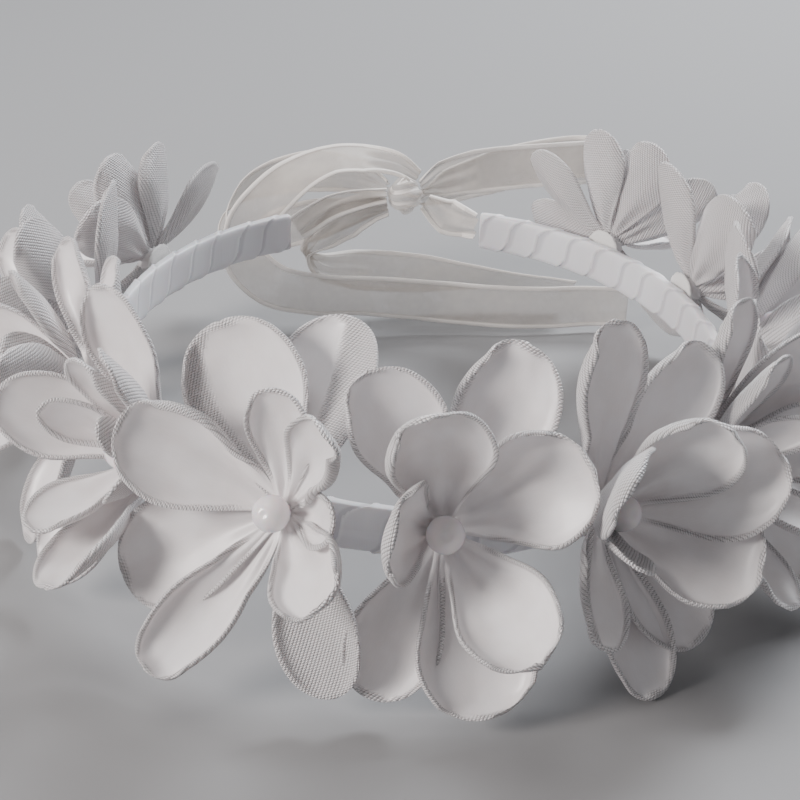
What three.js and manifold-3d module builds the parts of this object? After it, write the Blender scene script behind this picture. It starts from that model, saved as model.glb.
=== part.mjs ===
// Flower crown: an open oval hoop wrapped in satin ribbon, carrying a row of folded satin
// flowers with pearl centres, and closed at the back by a tied sheer ribbon.
// Units are millimetres. +Z is up, -Y is the front of the crown (over the forehead).
import * as THREE from 'three';
import { mergeVertices } from 'three/addons/utils/BufferGeometryUtils.js';
import Module from 'manifold-3d';

const wasm = await Module();
wasm.setup();

// ---------------------------------------------------------------- driving sizes
const HOOP_HALF_WIDTH = 78;        // hoop mid-line, centre to side
const HOOP_HALF_DEPTH = 90.5;      // hoop mid-line, centre to front
const HOOP_LEFT_END = -157;        // degrees round from the front, left end of the band
const HOOP_RIGHT_END = 159;        // degrees round from the front, right end of the band
const HOOP_STEPS = 42;             // flat facets round the hoop

const CORE_THICKNESS = 1.2;
const CORE_HEIGHT = 9.6;
const WRAP_THICKNESS = 0.8;        // layers of ribbon wound over the core
const GAP = 0.3;                   // clearance between touching pieces
const WRAP_HALF = CORE_THICKNESS / 2 + GAP + WRAP_THICKNESS;
const WRAP_HEIGHT = CORE_HEIGHT + 2 * (GAP + WRAP_THICKNESS);

const BACKING_RADIUS = 6;
const BACKING_THICKNESS = 1.2;
const FLOWER_LIFT = 3;             // backing centre above the middle of the band
const FLOWER_TILT = 25;            // flower axis above the horizontal, degrees
const HUB_HEIGHT = 3;
const PEARL_DIAMETER = 8;
const PEARL_SEAT = 1.8;            // how far the inner petals' roots lie inside the pearl's edge
const RING_STEP = 0.8;             // from the inner petals' roots out to the outer ones
const PETAL_THICKNESS = 1.1;       // two ribbon layers, sewn and turned
const PETAL_LENGTH = 38;
const PETAL_WIDTH = 25;
const TIP_ROUNDING = 0.12;         // how far the tip's sides fall short, as a share of the length
// Distances from the flower's axis where the petals begin, and the radii of their hubs.
const INNER_START = PEARL_DIAMETER / 2 - PEARL_SEAT;
const INNER_HUB_RADIUS = INNER_START + RING_STEP / 2;
const OUTER_START = INNER_START + RING_STEP;
const OUTER_HUB_RADIUS = OUTER_START + RING_STEP;

const RIBBON_WIDTH = 14;
const RIBBON_THICKNESS = 0.5;
const KNOT_WIDTH = 9;
const KNOT_DEPTH = 7;
const KNOT_HEIGHT = 10;

// ---------------------------------------------------------------- small helpers
const radians = THREE.MathUtils.degToRad;

function toManifold(geometry) {
  const bare = geometry.clone();
  bare.deleteAttribute('normal');
  bare.deleteAttribute('uv');
  const merged = mergeVertices(bare, 1e-4);
  return new wasm.Manifold(new wasm.Mesh({
    numProp: 3,
    vertProperties: Float32Array.from(merged.attributes.position.array),
    triVerts: Uint32Array.from(merged.index.array),
  }));
}

function toGeometry(solid) {
  const mesh = solid.getMesh();
  const geometry = new THREE.BufferGeometry();
  geometry.setAttribute('position', new THREE.BufferAttribute(mesh.vertProperties, 3));
  geometry.setIndex(new THREE.BufferAttribute(mesh.triVerts, 1));
  geometry.computeVertexNormals();
  return geometry;
}

function joinSolids(geometries) {
  let solid = toManifold(geometries[0]);
  for (const geometry of geometries.slice(1)) {
    solid = solid.add(toManifold(geometry));
  }
  return toGeometry(solid);
}

const satin = (color) => new THREE.MeshStandardMaterial({ color, roughness: 0.42, metalness: 0 });
const organza = () => new THREE.MeshStandardMaterial({
  color: 0xd9cfc2, roughness: 0.5, metalness: 0, transparent: true, opacity: 0.45,
});

const crown = new THREE.Group();

function addPiece(name, geometry, material) {
  const mesh = new THREE.Mesh(geometry, material);
  mesh.name = name;
  crown.add(mesh);
  return mesh;
}

// ---------------------------------------------------------------- hoop
// A point of the hoop's mid-line pushed out by offset; angle 0 is the front, + goes right.
function hoopPoint(angle, offset = 0) {
  const a = radians(angle);
  const normal = hoopNormal(angle);
  return new THREE.Vector2(
    HOOP_HALF_WIDTH * Math.sin(a) + offset * normal.x,
    -HOOP_HALF_DEPTH * Math.cos(a) + offset * normal.y,
  );
}

function hoopNormal(angle) {
  const a = radians(angle);
  return new THREE.Vector2(Math.sin(a) / HOOP_HALF_WIDTH, -Math.cos(a) / HOOP_HALF_DEPTH).normalize();
}

// An upright strip that follows the hoop between two offsets, centred on its mid height.
function hoopStrip(inner, outer, height, startAngle, endAngle) {
  const outline = [];
  for (let i = 0; i <= HOOP_STEPS; i += 1) {
    outline.push(hoopPoint(THREE.MathUtils.lerp(startAngle, endAngle, i / HOOP_STEPS), outer));
  }
  for (let i = HOOP_STEPS; i >= 0; i -= 1) {
    outline.push(hoopPoint(THREE.MathUtils.lerp(startAngle, endAngle, i / HOOP_STEPS), inner));
  }
  const strip = new THREE.ExtrudeGeometry(new THREE.Shape(outline), {
    depth: height, bevelEnabled: false, steps: 1,
  });
  return strip.translate(0, 0, -height / 2);
}

function bandCore() {
  const half = CORE_THICKNESS / 2;
  return hoopStrip(-half, half, CORE_HEIGHT, HOOP_LEFT_END, HOOP_RIGHT_END);
}

function bandWrap() {
  const slot = CORE_THICKNESS / 2 + GAP;
  const sleeve = hoopStrip(-WRAP_HALF, WRAP_HALF, WRAP_HEIGHT, HOOP_LEFT_END, HOOP_RIGHT_END);
  const overrun = 2;
  const hollow = hoopStrip(
    -slot, slot, CORE_HEIGHT + 2 * GAP, HOOP_LEFT_END - overrun, HOOP_RIGHT_END + overrun,
  );
  return toGeometry(toManifold(sleeve).subtract(toManifold(hollow)));
}

addPiece('band_core', bandCore(), new THREE.MeshStandardMaterial({ color: 0xe8e6e0, roughness: 0.6 }));
addPiece('band_wrap', bandWrap(), satin(0xe4e2e6));

// ---------------------------------------------------------------- petals
// Half width of a petal along its length, as a share of its full half width.
function petalOutline(u) {
  return Math.sin(Math.PI * (0.06 + 0.78 * u ** 1.3));
}

// One petal in flower axes: X right, Y up, Z out along the flower's axis. turn is its place
// round the flower from the top, open is the angle between the flower's axis and the petal's
// middle, curl is how far the tip bends back towards the axis, and cup is the angle that the
// petal wraps across its width.
function petal({ turn, open, length = 1, width = 1, curl = 30, cup = 75 }, start, baseHeight) {
  const solid = new THREE.BoxGeometry(2, 1, 1, 2, 1, 4);
  const place = solid.attributes.position;
  const fullLength = PETAL_LENGTH * length;
  const around = radians(turn);
  const radial = new THREE.Vector3(Math.sin(around), Math.cos(around), 0);
  const axis = new THREE.Vector3(0, 0, 1);
  const side = new THREE.Vector3().crossVectors(axis, radial);
  const centreAt = (distance) => {
    const point = radial.clone().multiplyScalar(start).addScaledVector(axis, baseHeight);
    const pieces = 8;
    for (let i = 0; i < pieces; i += 1) {
      const lean = radians(open + curl * (0.5 - ((i + 0.5) / pieces) * (distance / fullLength)));
      point.addScaledVector(radial, (Math.sin(lean) * distance) / pieces);
      point.addScaledVector(axis, (Math.cos(lean) * distance) / pieces);
    }
    return point;
  };
  for (let i = 0; i < place.count; i += 1) {
    const across = place.getX(i);
    const layer = place.getY(i) * PETAL_THICKNESS;
    const u = 1 - (0.5 - place.getZ(i)) ** 1.4;
    const distance = fullLength * (u - TIP_ROUNDING * across * across * u ** 4);
    const lean = radians(open + curl * (0.5 - u));
    const along = radial.clone().multiplyScalar(Math.sin(lean)).addScaledVector(axis, Math.cos(lean));
    const inward = radial.clone().multiplyScalar(-Math.cos(lean)).addScaledVector(axis, Math.sin(lean));
    const halfWidth = (PETAL_WIDTH * width * petalOutline(u)) / 2;
    const wrap = radians(cup) / 2;
    const radius = halfWidth / wrap;
    const bend = across * wrap;
    const point = centreAt(distance)
      .addScaledVector(side, Math.sin(bend) * (radius - layer))
      .addScaledVector(inward, radius - Math.cos(bend) * (radius - layer));
    place.setXYZ(i, point.x, point.y, point.z);
  }
  return solid;
}

// The gathered root of a ring of petals: a short disc on the flower's axis.
function hub(radius, bottom) {
  const disc = new THREE.CylinderGeometry(radius, radius, HUB_HEIGHT, 10);
  return disc.rotateX(Math.PI / 2).translate(0, 0, bottom + HUB_HEIGHT / 2);
}

function whorl(petals, hubRadius, start, bottom) {
  const middle = bottom + HUB_HEIGHT / 2;
  return joinSolids([hub(hubRadius, bottom), ...petals.map((shape) => petal(shape, start, middle))]);
}

// ---------------------------------------------------------------- flowers
// Outer and inner petals of each kind of flower. The three kinds at the front are unlike
// each other, as hand-folded flowers are; the side kinds are repeated round the hoop.
const FLOWER_KINDS = {
  front_left: {
    outer: [
      { turn: 330, open: 84, length: 1.06, width: 1.3, cup: 60 },
      { turn: 5, open: 94, length: 1.06, width: 1.0, curl: -10, cup: 50 },
      { turn: 290, open: 64, length: 1.02, width: 1.1, cup: 90 },
      { turn: 238, open: 84, length: 0.98, width: 1.1, curl: 10, cup: 70 },
      { turn: 206, open: 68, length: 1.14, width: 0.82, cup: 80 },
      { turn: 152, open: 88, length: 0.98, width: 0.86, curl: 10 },
    ],
    inner: [
      { turn: 2, open: 54, length: 0.8, width: 0.7, cup: 60 },
      { turn: 38, open: 46, length: 0.95, width: 0.75, cup: 90 },
      { turn: 84, open: 50, length: 0.5, width: 0.55, cup: 80 },
      { turn: 125, open: 50, length: 0.8, width: 0.95, cup: 80 },
    ],
  },
  front_middle: {
    outer: [
      { turn: 25, open: 86, length: 1.06, width: 1.05, cup: 60 },
      { turn: 334, open: 72, length: 0.95, width: 1.0, cup: 70 },
      { turn: 62, open: 60, length: 0.95, width: 1.25, cup: 80 },
      { turn: 165, open: 84, length: 1.02, width: 1.2, cup: 80 },
      { turn: 203, open: 92, length: 0.95, width: 0.95, cup: 70 },
    ],
    inner: [
      { turn: 350, open: 44, length: 0.95, width: 1.1, cup: 80 },
      { turn: 142, open: 48, length: 1.0, width: 1.05, cup: 90 },
      { turn: 280, open: 24, length: 0.75, width: 1.0, cup: 60 },
    ],
  },
  front_right: {
    outer: [
      { turn: 2, open: 66, length: 1.1, width: 0.8, cup: 60 },
      { turn: 44, open: 76, length: 1.06, width: 0.9, cup: 60 },
      { turn: 82, open: 46, length: 1.05, width: 1.2, cup: 80 },
      { turn: 126, open: 54, length: 0.94, width: 1.2, cup: 80 },
      { turn: 150, open: 86, length: 0.95, width: 0.9, cup: 60 },
      { turn: 174, open: 86, length: 1.06, width: 0.8, cup: 70 },
      { turn: 208, open: 60, length: 0.8, width: 0.6, cup: 60 },
    ],
    inner: [
      { turn: 318, open: 24, length: 0.72, width: 0.95, cup: 60 },
      { turn: 46, open: 36, length: 0.9, width: 1.0, cup: 60 },
      { turn: 216, open: 26, length: 0.6, width: 0.5, cup: 60 },
    ],
  },
  left: {
    outer: [
      { turn: 336, open: 62, length: 1.0, width: 1.0 },
      { turn: 20, open: 36, length: 0.96, width: 0.62 },
      { turn: 112, open: 30, length: 0.62, width: 0.5 },
      { turn: 156, open: 46, length: 1.04, width: 0.9, cup: 90 },
      { turn: 206, open: 82, length: 1.0, width: 1.0 },
      { turn: 272, open: 38, length: 0.94, width: 0.9 },
    ],
    inner: [
      { turn: 350, open: 34, length: 0.76, width: 0.7, cup: 80 },
      { turn: 50, open: 20, length: 0.58, width: 0.42 },
      { turn: 182, open: 38, length: 0.78, width: 0.7 },
      { turn: 292, open: 22, length: 0.66, width: 0.5 },
    ],
  },
  right: {
    outer: [
      { turn: 8, open: 60, length: 1.0, width: 0.82 },
      { turn: 50, open: 44, length: 1.0, width: 0.85 },
      { turn: 100, open: 36, length: 0.94, width: 0.85 },
      { turn: 156, open: 80, length: 1.0, width: 0.95 },
      { turn: 206, open: 56, length: 1.0, width: 0.8 },
      { turn: 272, open: 20, length: 0.78, width: 0.6 },
    ],
    inner: [
      { turn: 6, open: 40, length: 0.8, width: 0.75 },
      { turn: 76, open: 20, length: 0.6, width: 0.45 },
      { turn: 180, open: 38, length: 0.78, width: 0.7 },
      { turn: 230, open: 20, length: 0.52, width: 0.4 },
    ],
  },
  back_left: {
    outer: [
      { turn: 306, open: 86, length: 0.86, width: 0.8 },
      { turn: 340, open: 62, length: 0.8, width: 0.85 },
      { turn: 16, open: 50, length: 0.8, width: 0.85 },
      { turn: 56, open: 74, length: 0.9, width: 0.85 },
      { turn: 150, open: 84, length: 1.0, width: 0.95 },
      { turn: 208, open: 72, length: 0.95, width: 0.85 },
    ],
    inner: [
      { turn: 326, open: 40, length: 0.66, width: 0.6 },
      { turn: 36, open: 28, length: 0.66, width: 0.6 },
      { turn: 180, open: 38, length: 0.7, width: 0.7 },
      { turn: 256, open: 24, length: 0.6, width: 0.48 },
    ],
  },
  back_right: {
    outer: [
      { turn: 54, open: 84, length: 0.88, width: 0.8 },
      { turn: 20, open: 62, length: 0.82, width: 0.85 },
      { turn: 344, open: 50, length: 0.8, width: 0.85 },
      { turn: 96, open: 88, length: 0.86, width: 0.8 },
      { turn: 206, open: 84, length: 1.0, width: 0.95 },
      { turn: 290, open: 34, length: 0.86, width: 0.7 },
    ],
    inner: [
      { turn: 34, open: 40, length: 0.66, width: 0.6 },
      { turn: 324, open: 28, length: 0.66, width: 0.6 },
      { turn: 180, open: 38, length: 0.7, width: 0.7 },
      { turn: 104, open: 24, length: 0.6, width: 0.48 },
    ],
  },
  side_a: {
    outer: [
      { turn: 346, open: 74, length: 0.88, width: 0.95 },
      { turn: 36, open: 42, length: 0.88, width: 0.85 },
      { turn: 94, open: 32, length: 0.92, width: 0.85 },
      { turn: 148, open: 54, length: 1.0, width: 0.9 },
      { turn: 194, open: 88, length: 1.03, width: 0.95 },
      { turn: 264, open: 32, length: 0.95, width: 0.85 },
    ],
    inner: [
      { turn: 10, open: 40, length: 0.8, width: 0.8, cup: 80 },
      { turn: 118, open: 20, length: 0.6, width: 0.45 },
      { turn: 172, open: 36, length: 0.78, width: 0.7 },
      { turn: 296, open: 20, length: 0.64, width: 0.48 },
    ],
  },
  side_b: {
    outer: [
      { turn: 16, open: 76, length: 0.88, width: 0.92 },
      { turn: 84, open: 32, length: 0.92, width: 0.85 },
      { turn: 166, open: 88, length: 1.03, width: 0.95 },
      { turn: 208, open: 56, length: 1.0, width: 0.9 },
      { turn: 268, open: 30, length: 0.95, width: 0.8 },
      { turn: 326, open: 66, length: 0.88, width: 0.88 },
    ],
    inner: [
      { turn: 350, open: 38, length: 0.8, width: 0.75 },
      { turn: 54, open: 20, length: 0.64, width: 0.48 },
      { turn: 184, open: 38, length: 0.78, width: 0.7 },
      { turn: 238, open: 20, length: 0.6, width: 0.45 },
    ],
  },
};

// Each flower's place round the hoop in degrees, from the left back end to the right back end.
const FLOWERS = [
  { at: -123, kind: 'back_left' },
  { at: -98, kind: 'side_a' },
  { at: -74, kind: 'side_b' },
  { at: -49, kind: 'left' },
  { at: -24, kind: 'front_left' },
  { at: -2, kind: 'front_middle' },
  { at: 21.5, kind: 'front_right' },
  { at: 44, kind: 'right' },
  { at: 65.5, kind: 'side_b' },
  { at: 87, kind: 'side_a' },
  { at: 108, kind: 'side_b' },
  { at: 131, kind: 'back_right' },
];

// Heights along a flower's axis, from the backing's outer face.
const OUTER_HUB_BOTTOM = GAP + OUTER_HUB_RADIUS * Math.sin(radians(FLOWER_TILT));
const INNER_HUB_BOTTOM = OUTER_HUB_BOTTOM + HUB_HEIGHT + GAP;
const PEARL_CENTRE = INNER_HUB_BOTTOM + HUB_HEIGHT + GAP + PEARL_DIAMETER / 2;

// Turns a shape made in flower axes to its place on the band's outer face.
function seatOnBand(geometry, angle, tilt) {
  const n = hoopNormal(angle);
  const out = new THREE.Vector3(n.x, n.y, 0);
  const up = new THREE.Vector3(0, 0, 1);
  const axis = out.clone().multiplyScalar(Math.cos(radians(tilt)))
    .addScaledVector(up, Math.sin(radians(tilt)));
  const top = out.clone().multiplyScalar(-Math.sin(radians(tilt)))
    .addScaledVector(up, Math.cos(radians(tilt)));
  const right = new THREE.Vector3().crossVectors(top, axis);
  const seat = hoopPoint(angle, WRAP_HALF + GAP + (tilt ? BACKING_THICKNESS : 0));
  const placed = new THREE.Matrix4().makeBasis(right, top, axis);
  placed.setPosition(seat.x, seat.y, FLOWER_LIFT);
  return geometry.applyMatrix4(placed);
}

function backing() {
  const disc = new THREE.CylinderGeometry(BACKING_RADIUS, BACKING_RADIUS, BACKING_THICKNESS, 12);
  return disc.rotateX(Math.PI / 2).translate(0, 0, BACKING_THICKNESS / 2);
}

function pearl() {
  return new THREE.SphereGeometry(PEARL_DIAMETER / 2, 10, 7).translate(0, 0, PEARL_CENTRE);
}

function addFlower({ at, kind }, number) {
  const name = `flower_${String(number).padStart(2, '0')}`;
  const petals = FLOWER_KINDS[kind];
  addPiece(`${name}_backing`, seatOnBand(backing(), at, 0), satin(0xdedce0));
  const outer = whorl(petals.outer, OUTER_HUB_RADIUS, OUTER_START, OUTER_HUB_BOTTOM);
  const inner = whorl(petals.inner, INNER_HUB_RADIUS, INNER_START, INNER_HUB_BOTTOM);
  addPiece(`${name}_outer_petals`, seatOnBand(outer, at, FLOWER_TILT), satin(0xeae8ec));
  addPiece(`${name}_inner_petals`, seatOnBand(inner, at, FLOWER_TILT), satin(0xf0eef2));
  addPiece(`${name}_pearl`, seatOnBand(pearl(), at, FLOWER_TILT),
    new THREE.MeshStandardMaterial({ color: 0xf2efee, roughness: 0.18, metalness: 0 }));
}

FLOWERS.forEach((flower, index) => addFlower(flower, index + 1));

// ---------------------------------------------------------------- sheer ribbon tie
// A place on the tie: x and y are percentages of the hoop's half width and half depth, so that
// the tie follows the ends of the band, and z counts in millimetres from the band's middle.
function tiePoint(x, y, z) {
  return new THREE.Vector3((x / 100) * HOOP_HALF_WIDTH, (y / 100) * HOOP_HALF_DEPTH, z);
}

// Centre, direction and face at each step along a strand. The face looks away from the head,
// unless it is carried on from step to step, as a loop's is, which keeps its end from twisting.
function strandSteps(route, steps, carried) {
  const curve = new THREE.CatmullRomCurve3(route.map(([x, y, z]) => tiePoint(x, y, z)));
  const found = [];
  for (let i = 0; i <= steps; i += 1) {
    const u = i / steps;
    const centre = curve.getPoint(u);
    const along = curve.getTangent(u);
    const side = carried && i > 0 ? found[i - 1].face : new THREE.Vector3(centre.x, centre.y, 0);
    const face = side.clone().addScaledVector(along, -side.dot(along)).normalize();
    const stretch = u * (route.length - 1);
    const before = Math.min(Math.floor(stretch), route.length - 2);
    const between = (column) => THREE.MathUtils.lerp(
      route[before][column], route[before + 1][column], stretch - before,
    );
    found.push({ centre, along, face, lean: radians(between(3)), spread: between(4) });
  }
  return found;
}

// Cuts the underside's four-sided faces along the same diagonals as the top's, so that the
// two faces of a twisting strip stay apart.
function cutUndersideAsTop(strip) {
  const corners = strip.index;
  const { start, count } = strip.groups[3];
  for (let i = start; i < start + count; i += 6) {
    const [a, b, c, d] = [0, 1, 4, 5].map((k) => corners.getX(i + k));
    [a, b, c, a, c, d].forEach((corner, k) => corners.setX(i + k, corner));
  }
}

// Each strand's route is a list of x, y, z, lean and spread. A lean of 0 faces the strand
// outwards, away from the head, and 90 lays it flat side up. The spread is the share of the
// ribbon's width that is open; it is gathered at the knot.
function ribbonStrand({ route, steps, width, thickness, carried = false }) {
  const found = strandSteps(route, steps, carried);
  const strip = new THREE.BoxGeometry(width, thickness, 1, 1, 1, steps);
  const place = strip.attributes.position;
  for (let i = 0; i < place.count; i += 1) {
    const across = place.getX(i);
    const layer = place.getY(i);
    const step = found[Math.round((place.getZ(i) + 0.5) * steps)];
    const face = step.face.clone().applyAxisAngle(step.along, step.lean);
    const widthWay = new THREE.Vector3().crossVectors(step.along, face);
    const point = step.centre.clone()
      .addScaledVector(face, layer)
      .addScaledVector(widthWay, -across * step.spread);
    place.setXYZ(i, point.x, point.y, point.z);
  }
  cutUndersideAsTop(strip);
  return strip;
}

const RIBBON_STRANDS = {
  tie_long_tail: {
    steps: 40,
    route: [
      [12.2, 108.5, 12, 50, 0.4], [3.8, 109.9, 16, 60, 0.7], [-9, 111, 17.5, 70, 1],
      [-21.8, 110.5, 17, 72, 1], [-35.9, 108.3, 12.5, 60, 1], [-47.4, 106.1, 5, 40, 1],
      [-55.1, 103.9, -3, 20, 1], [-56.4, 100.6, -11, 4, 1], [-46.2, 97.2, -19, 0, 1],
      [-28.2, 93.9, -21.5, 0, 1], [-11.5, 91.7, -21, 6, 1], [5.1, 90.6, -21.5, 6, 1],
      [23.1, 90.6, -23, 0, 1], [43.6, 89.5, -24, -4, 1], [64.1, 89.5, -24.5, 0, 1],
      [82.1, 90.6, -24.5, 4, 1], [96.2, 89.5, -24.5, 4, 1],
    ],
  },
  tie_short_tail: {
    steps: 32,
    route: [
      [0, 102.8, 4.5, 0, 0.4], [-7.7, 103.3, 3.5, 8, 0.7], [-16.7, 103.3, 0, 16, 0.9],
      [-24.4, 103.3, -5, 30, 0.7], [-31.5, 102.8, -11, 90, 0.4], [-25.6, 103.9, -15.5, 150, 0.6],
      [-12.8, 105.5, -17.5, 160, 0.9], [3.8, 107.2, -19, 180, 1], [23.1, 107.2, -20, 200, 1],
      [43.6, 106.1, -21, 220, 1], [61.5, 105, -22, 230, 1], [76.9, 103.9, -23, 230, 1],
    ],
  },
  tie_left_loop: {
    steps: 32,
    route: [
      [0, 107.8, 9, 10, 0.3], [-10.3, 114.4, 10.5, 6, 0.8], [-26.9, 118.2, 11, 0, 1],
      [-42.3, 119.3, 8.5, -10, 1], [-55.1, 118.8, 4, -35, 1], [-64.1, 116, -3, -65, 1],
      [-64.1, 113, -9, -85, 1], [-53.8, 113, -9.5, -80, 1], [-41, 112.5, -6, -50, 1],
      [-25.6, 110.4, -2, -20, 0.9], [-11.5, 107.7, 2, 0, 0.6], [0, 107, 4.5, 0, 0.3],
    ],
  },
  tie_right_loop: {
    steps: 36,
    carried: true,
    route: [
      [13.6, 107.2, 9, 10, 0.3], [21.8, 109.4, 11, 0, 0.8], [35.9, 112.7, 12.5, 0, 1],
      [53.8, 116, 13, 0, 1], [70, 119, 13, 0, 1], [82.5, 122, 12.8, 0, 1],
      [88.5, 126.5, 12.5, 0, 1], [82.5, 130.5, 12, 0, 1], [64.1, 128.2, 11, 0, 1],
      [43.6, 122.7, 9, 0, 1], [24.4, 114.4, 7, 0, 0.8], [13.6, 108.3, 5, 0, 0.3],
    ],
  },
  tie_left_lead: {
    steps: 12,
    width: 9,
    route: [
      [-36.4, 93.9, 0.8, 0, 1], [-32.1, 94.6, 3, 0, 1], [-23.1, 97, 6.5, 0, 0.9],
      [-10.3, 99.8, 8.4, 0, 0.7], [-1, 101.2, 9, 0, 0.5],
    ],
  },
  tie_right_lead: {
    steps: 10,
    width: 13,
    thickness: 3,
    route: [
      [34.1, 94.6, 1, 0, 0.8], [29.5, 96.7, 1.5, -12, 1], [23.1, 99.4, 2.5, 12, 1],
      [14.9, 101.7, 6.5, 0, 0.5],
    ],
  },
};

function tieKnot() {
  const knot = new THREE.SphereGeometry(1, 12, 8);
  const centre = tiePoint(6.7, 103, 8);
  return knot.scale(KNOT_WIDTH / 2, KNOT_DEPTH / 2, KNOT_HEIGHT / 2)
    .translate(centre.x, centre.y, centre.z);
}

for (const [name, strand] of Object.entries(RIBBON_STRANDS)) {
  const sizes = { width: RIBBON_WIDTH, thickness: RIBBON_THICKNESS, ...strand };
  addPiece(name, ribbonStrand(sizes), organza());
}
addPiece('tie_knot', tieKnot(), organza());

// ---------------------------------------------------------------- origin
// The origin is the middle of the crown's footprint, at the height of its lowest petal tip.
const box = new THREE.Box3().setFromObject(crown);
const middle = box.getCenter(new THREE.Vector3());
for (const piece of crown.children) {
  piece.geometry.translate(-middle.x, -middle.y, -box.min.z);
}

export default crown;
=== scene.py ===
"""Flower crown: satin petals, pearls, wound band and sheer ribbon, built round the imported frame.

Every length is in metres. +Z is up and -Y is the front of the crown.
"""

import math

import bpy
import numpy as np
from mathutils import Matrix, Vector


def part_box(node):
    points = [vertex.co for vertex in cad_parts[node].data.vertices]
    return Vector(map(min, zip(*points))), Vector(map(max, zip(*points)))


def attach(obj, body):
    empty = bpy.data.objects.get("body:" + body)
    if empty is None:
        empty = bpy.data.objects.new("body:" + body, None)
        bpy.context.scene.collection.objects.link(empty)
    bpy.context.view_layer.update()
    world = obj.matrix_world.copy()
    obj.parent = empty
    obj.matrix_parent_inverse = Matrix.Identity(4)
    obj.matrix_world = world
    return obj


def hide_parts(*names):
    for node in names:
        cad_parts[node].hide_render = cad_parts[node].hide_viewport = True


bl_info = {
    "name": "Flower Crown",
    "version": (1, 0, 0),
    "blender": (4, 5, 0),
    "location": "3D View > Sidebar > Crown",
    "description": "Builds a satin flower crown with pearls and a sheer ribbon tie",
    "category": "Object",
}

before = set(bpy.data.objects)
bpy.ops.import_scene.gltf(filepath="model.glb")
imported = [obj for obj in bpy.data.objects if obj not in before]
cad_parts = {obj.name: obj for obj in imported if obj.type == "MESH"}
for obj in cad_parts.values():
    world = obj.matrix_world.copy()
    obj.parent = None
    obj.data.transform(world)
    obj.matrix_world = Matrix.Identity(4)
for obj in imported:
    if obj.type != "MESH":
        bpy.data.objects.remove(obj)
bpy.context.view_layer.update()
MM = 0.001

# ---------------------------------------------------------------- the hoop, from the frame
BAND_LOW, BAND_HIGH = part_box("band_wrap")
HOOP_HALF_DEPTH = 90.5 * MM
WRAP_HALF = 1.7 * MM
HOOP_HALF_WIDTH = (BAND_HIGH.x - BAND_LOW.x) / 2 - WRAP_HALF
HOOP_LEFT_END = -157.0
HOOP_RIGHT_END = 159.0
HOOP_CENTRE = Vector((
    (BAND_LOW.x + BAND_HIGH.x) / 2,
    BAND_LOW.y + HOOP_HALF_DEPTH + WRAP_HALF,
    (BAND_LOW.z + BAND_HIGH.z) / 2,
))

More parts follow.
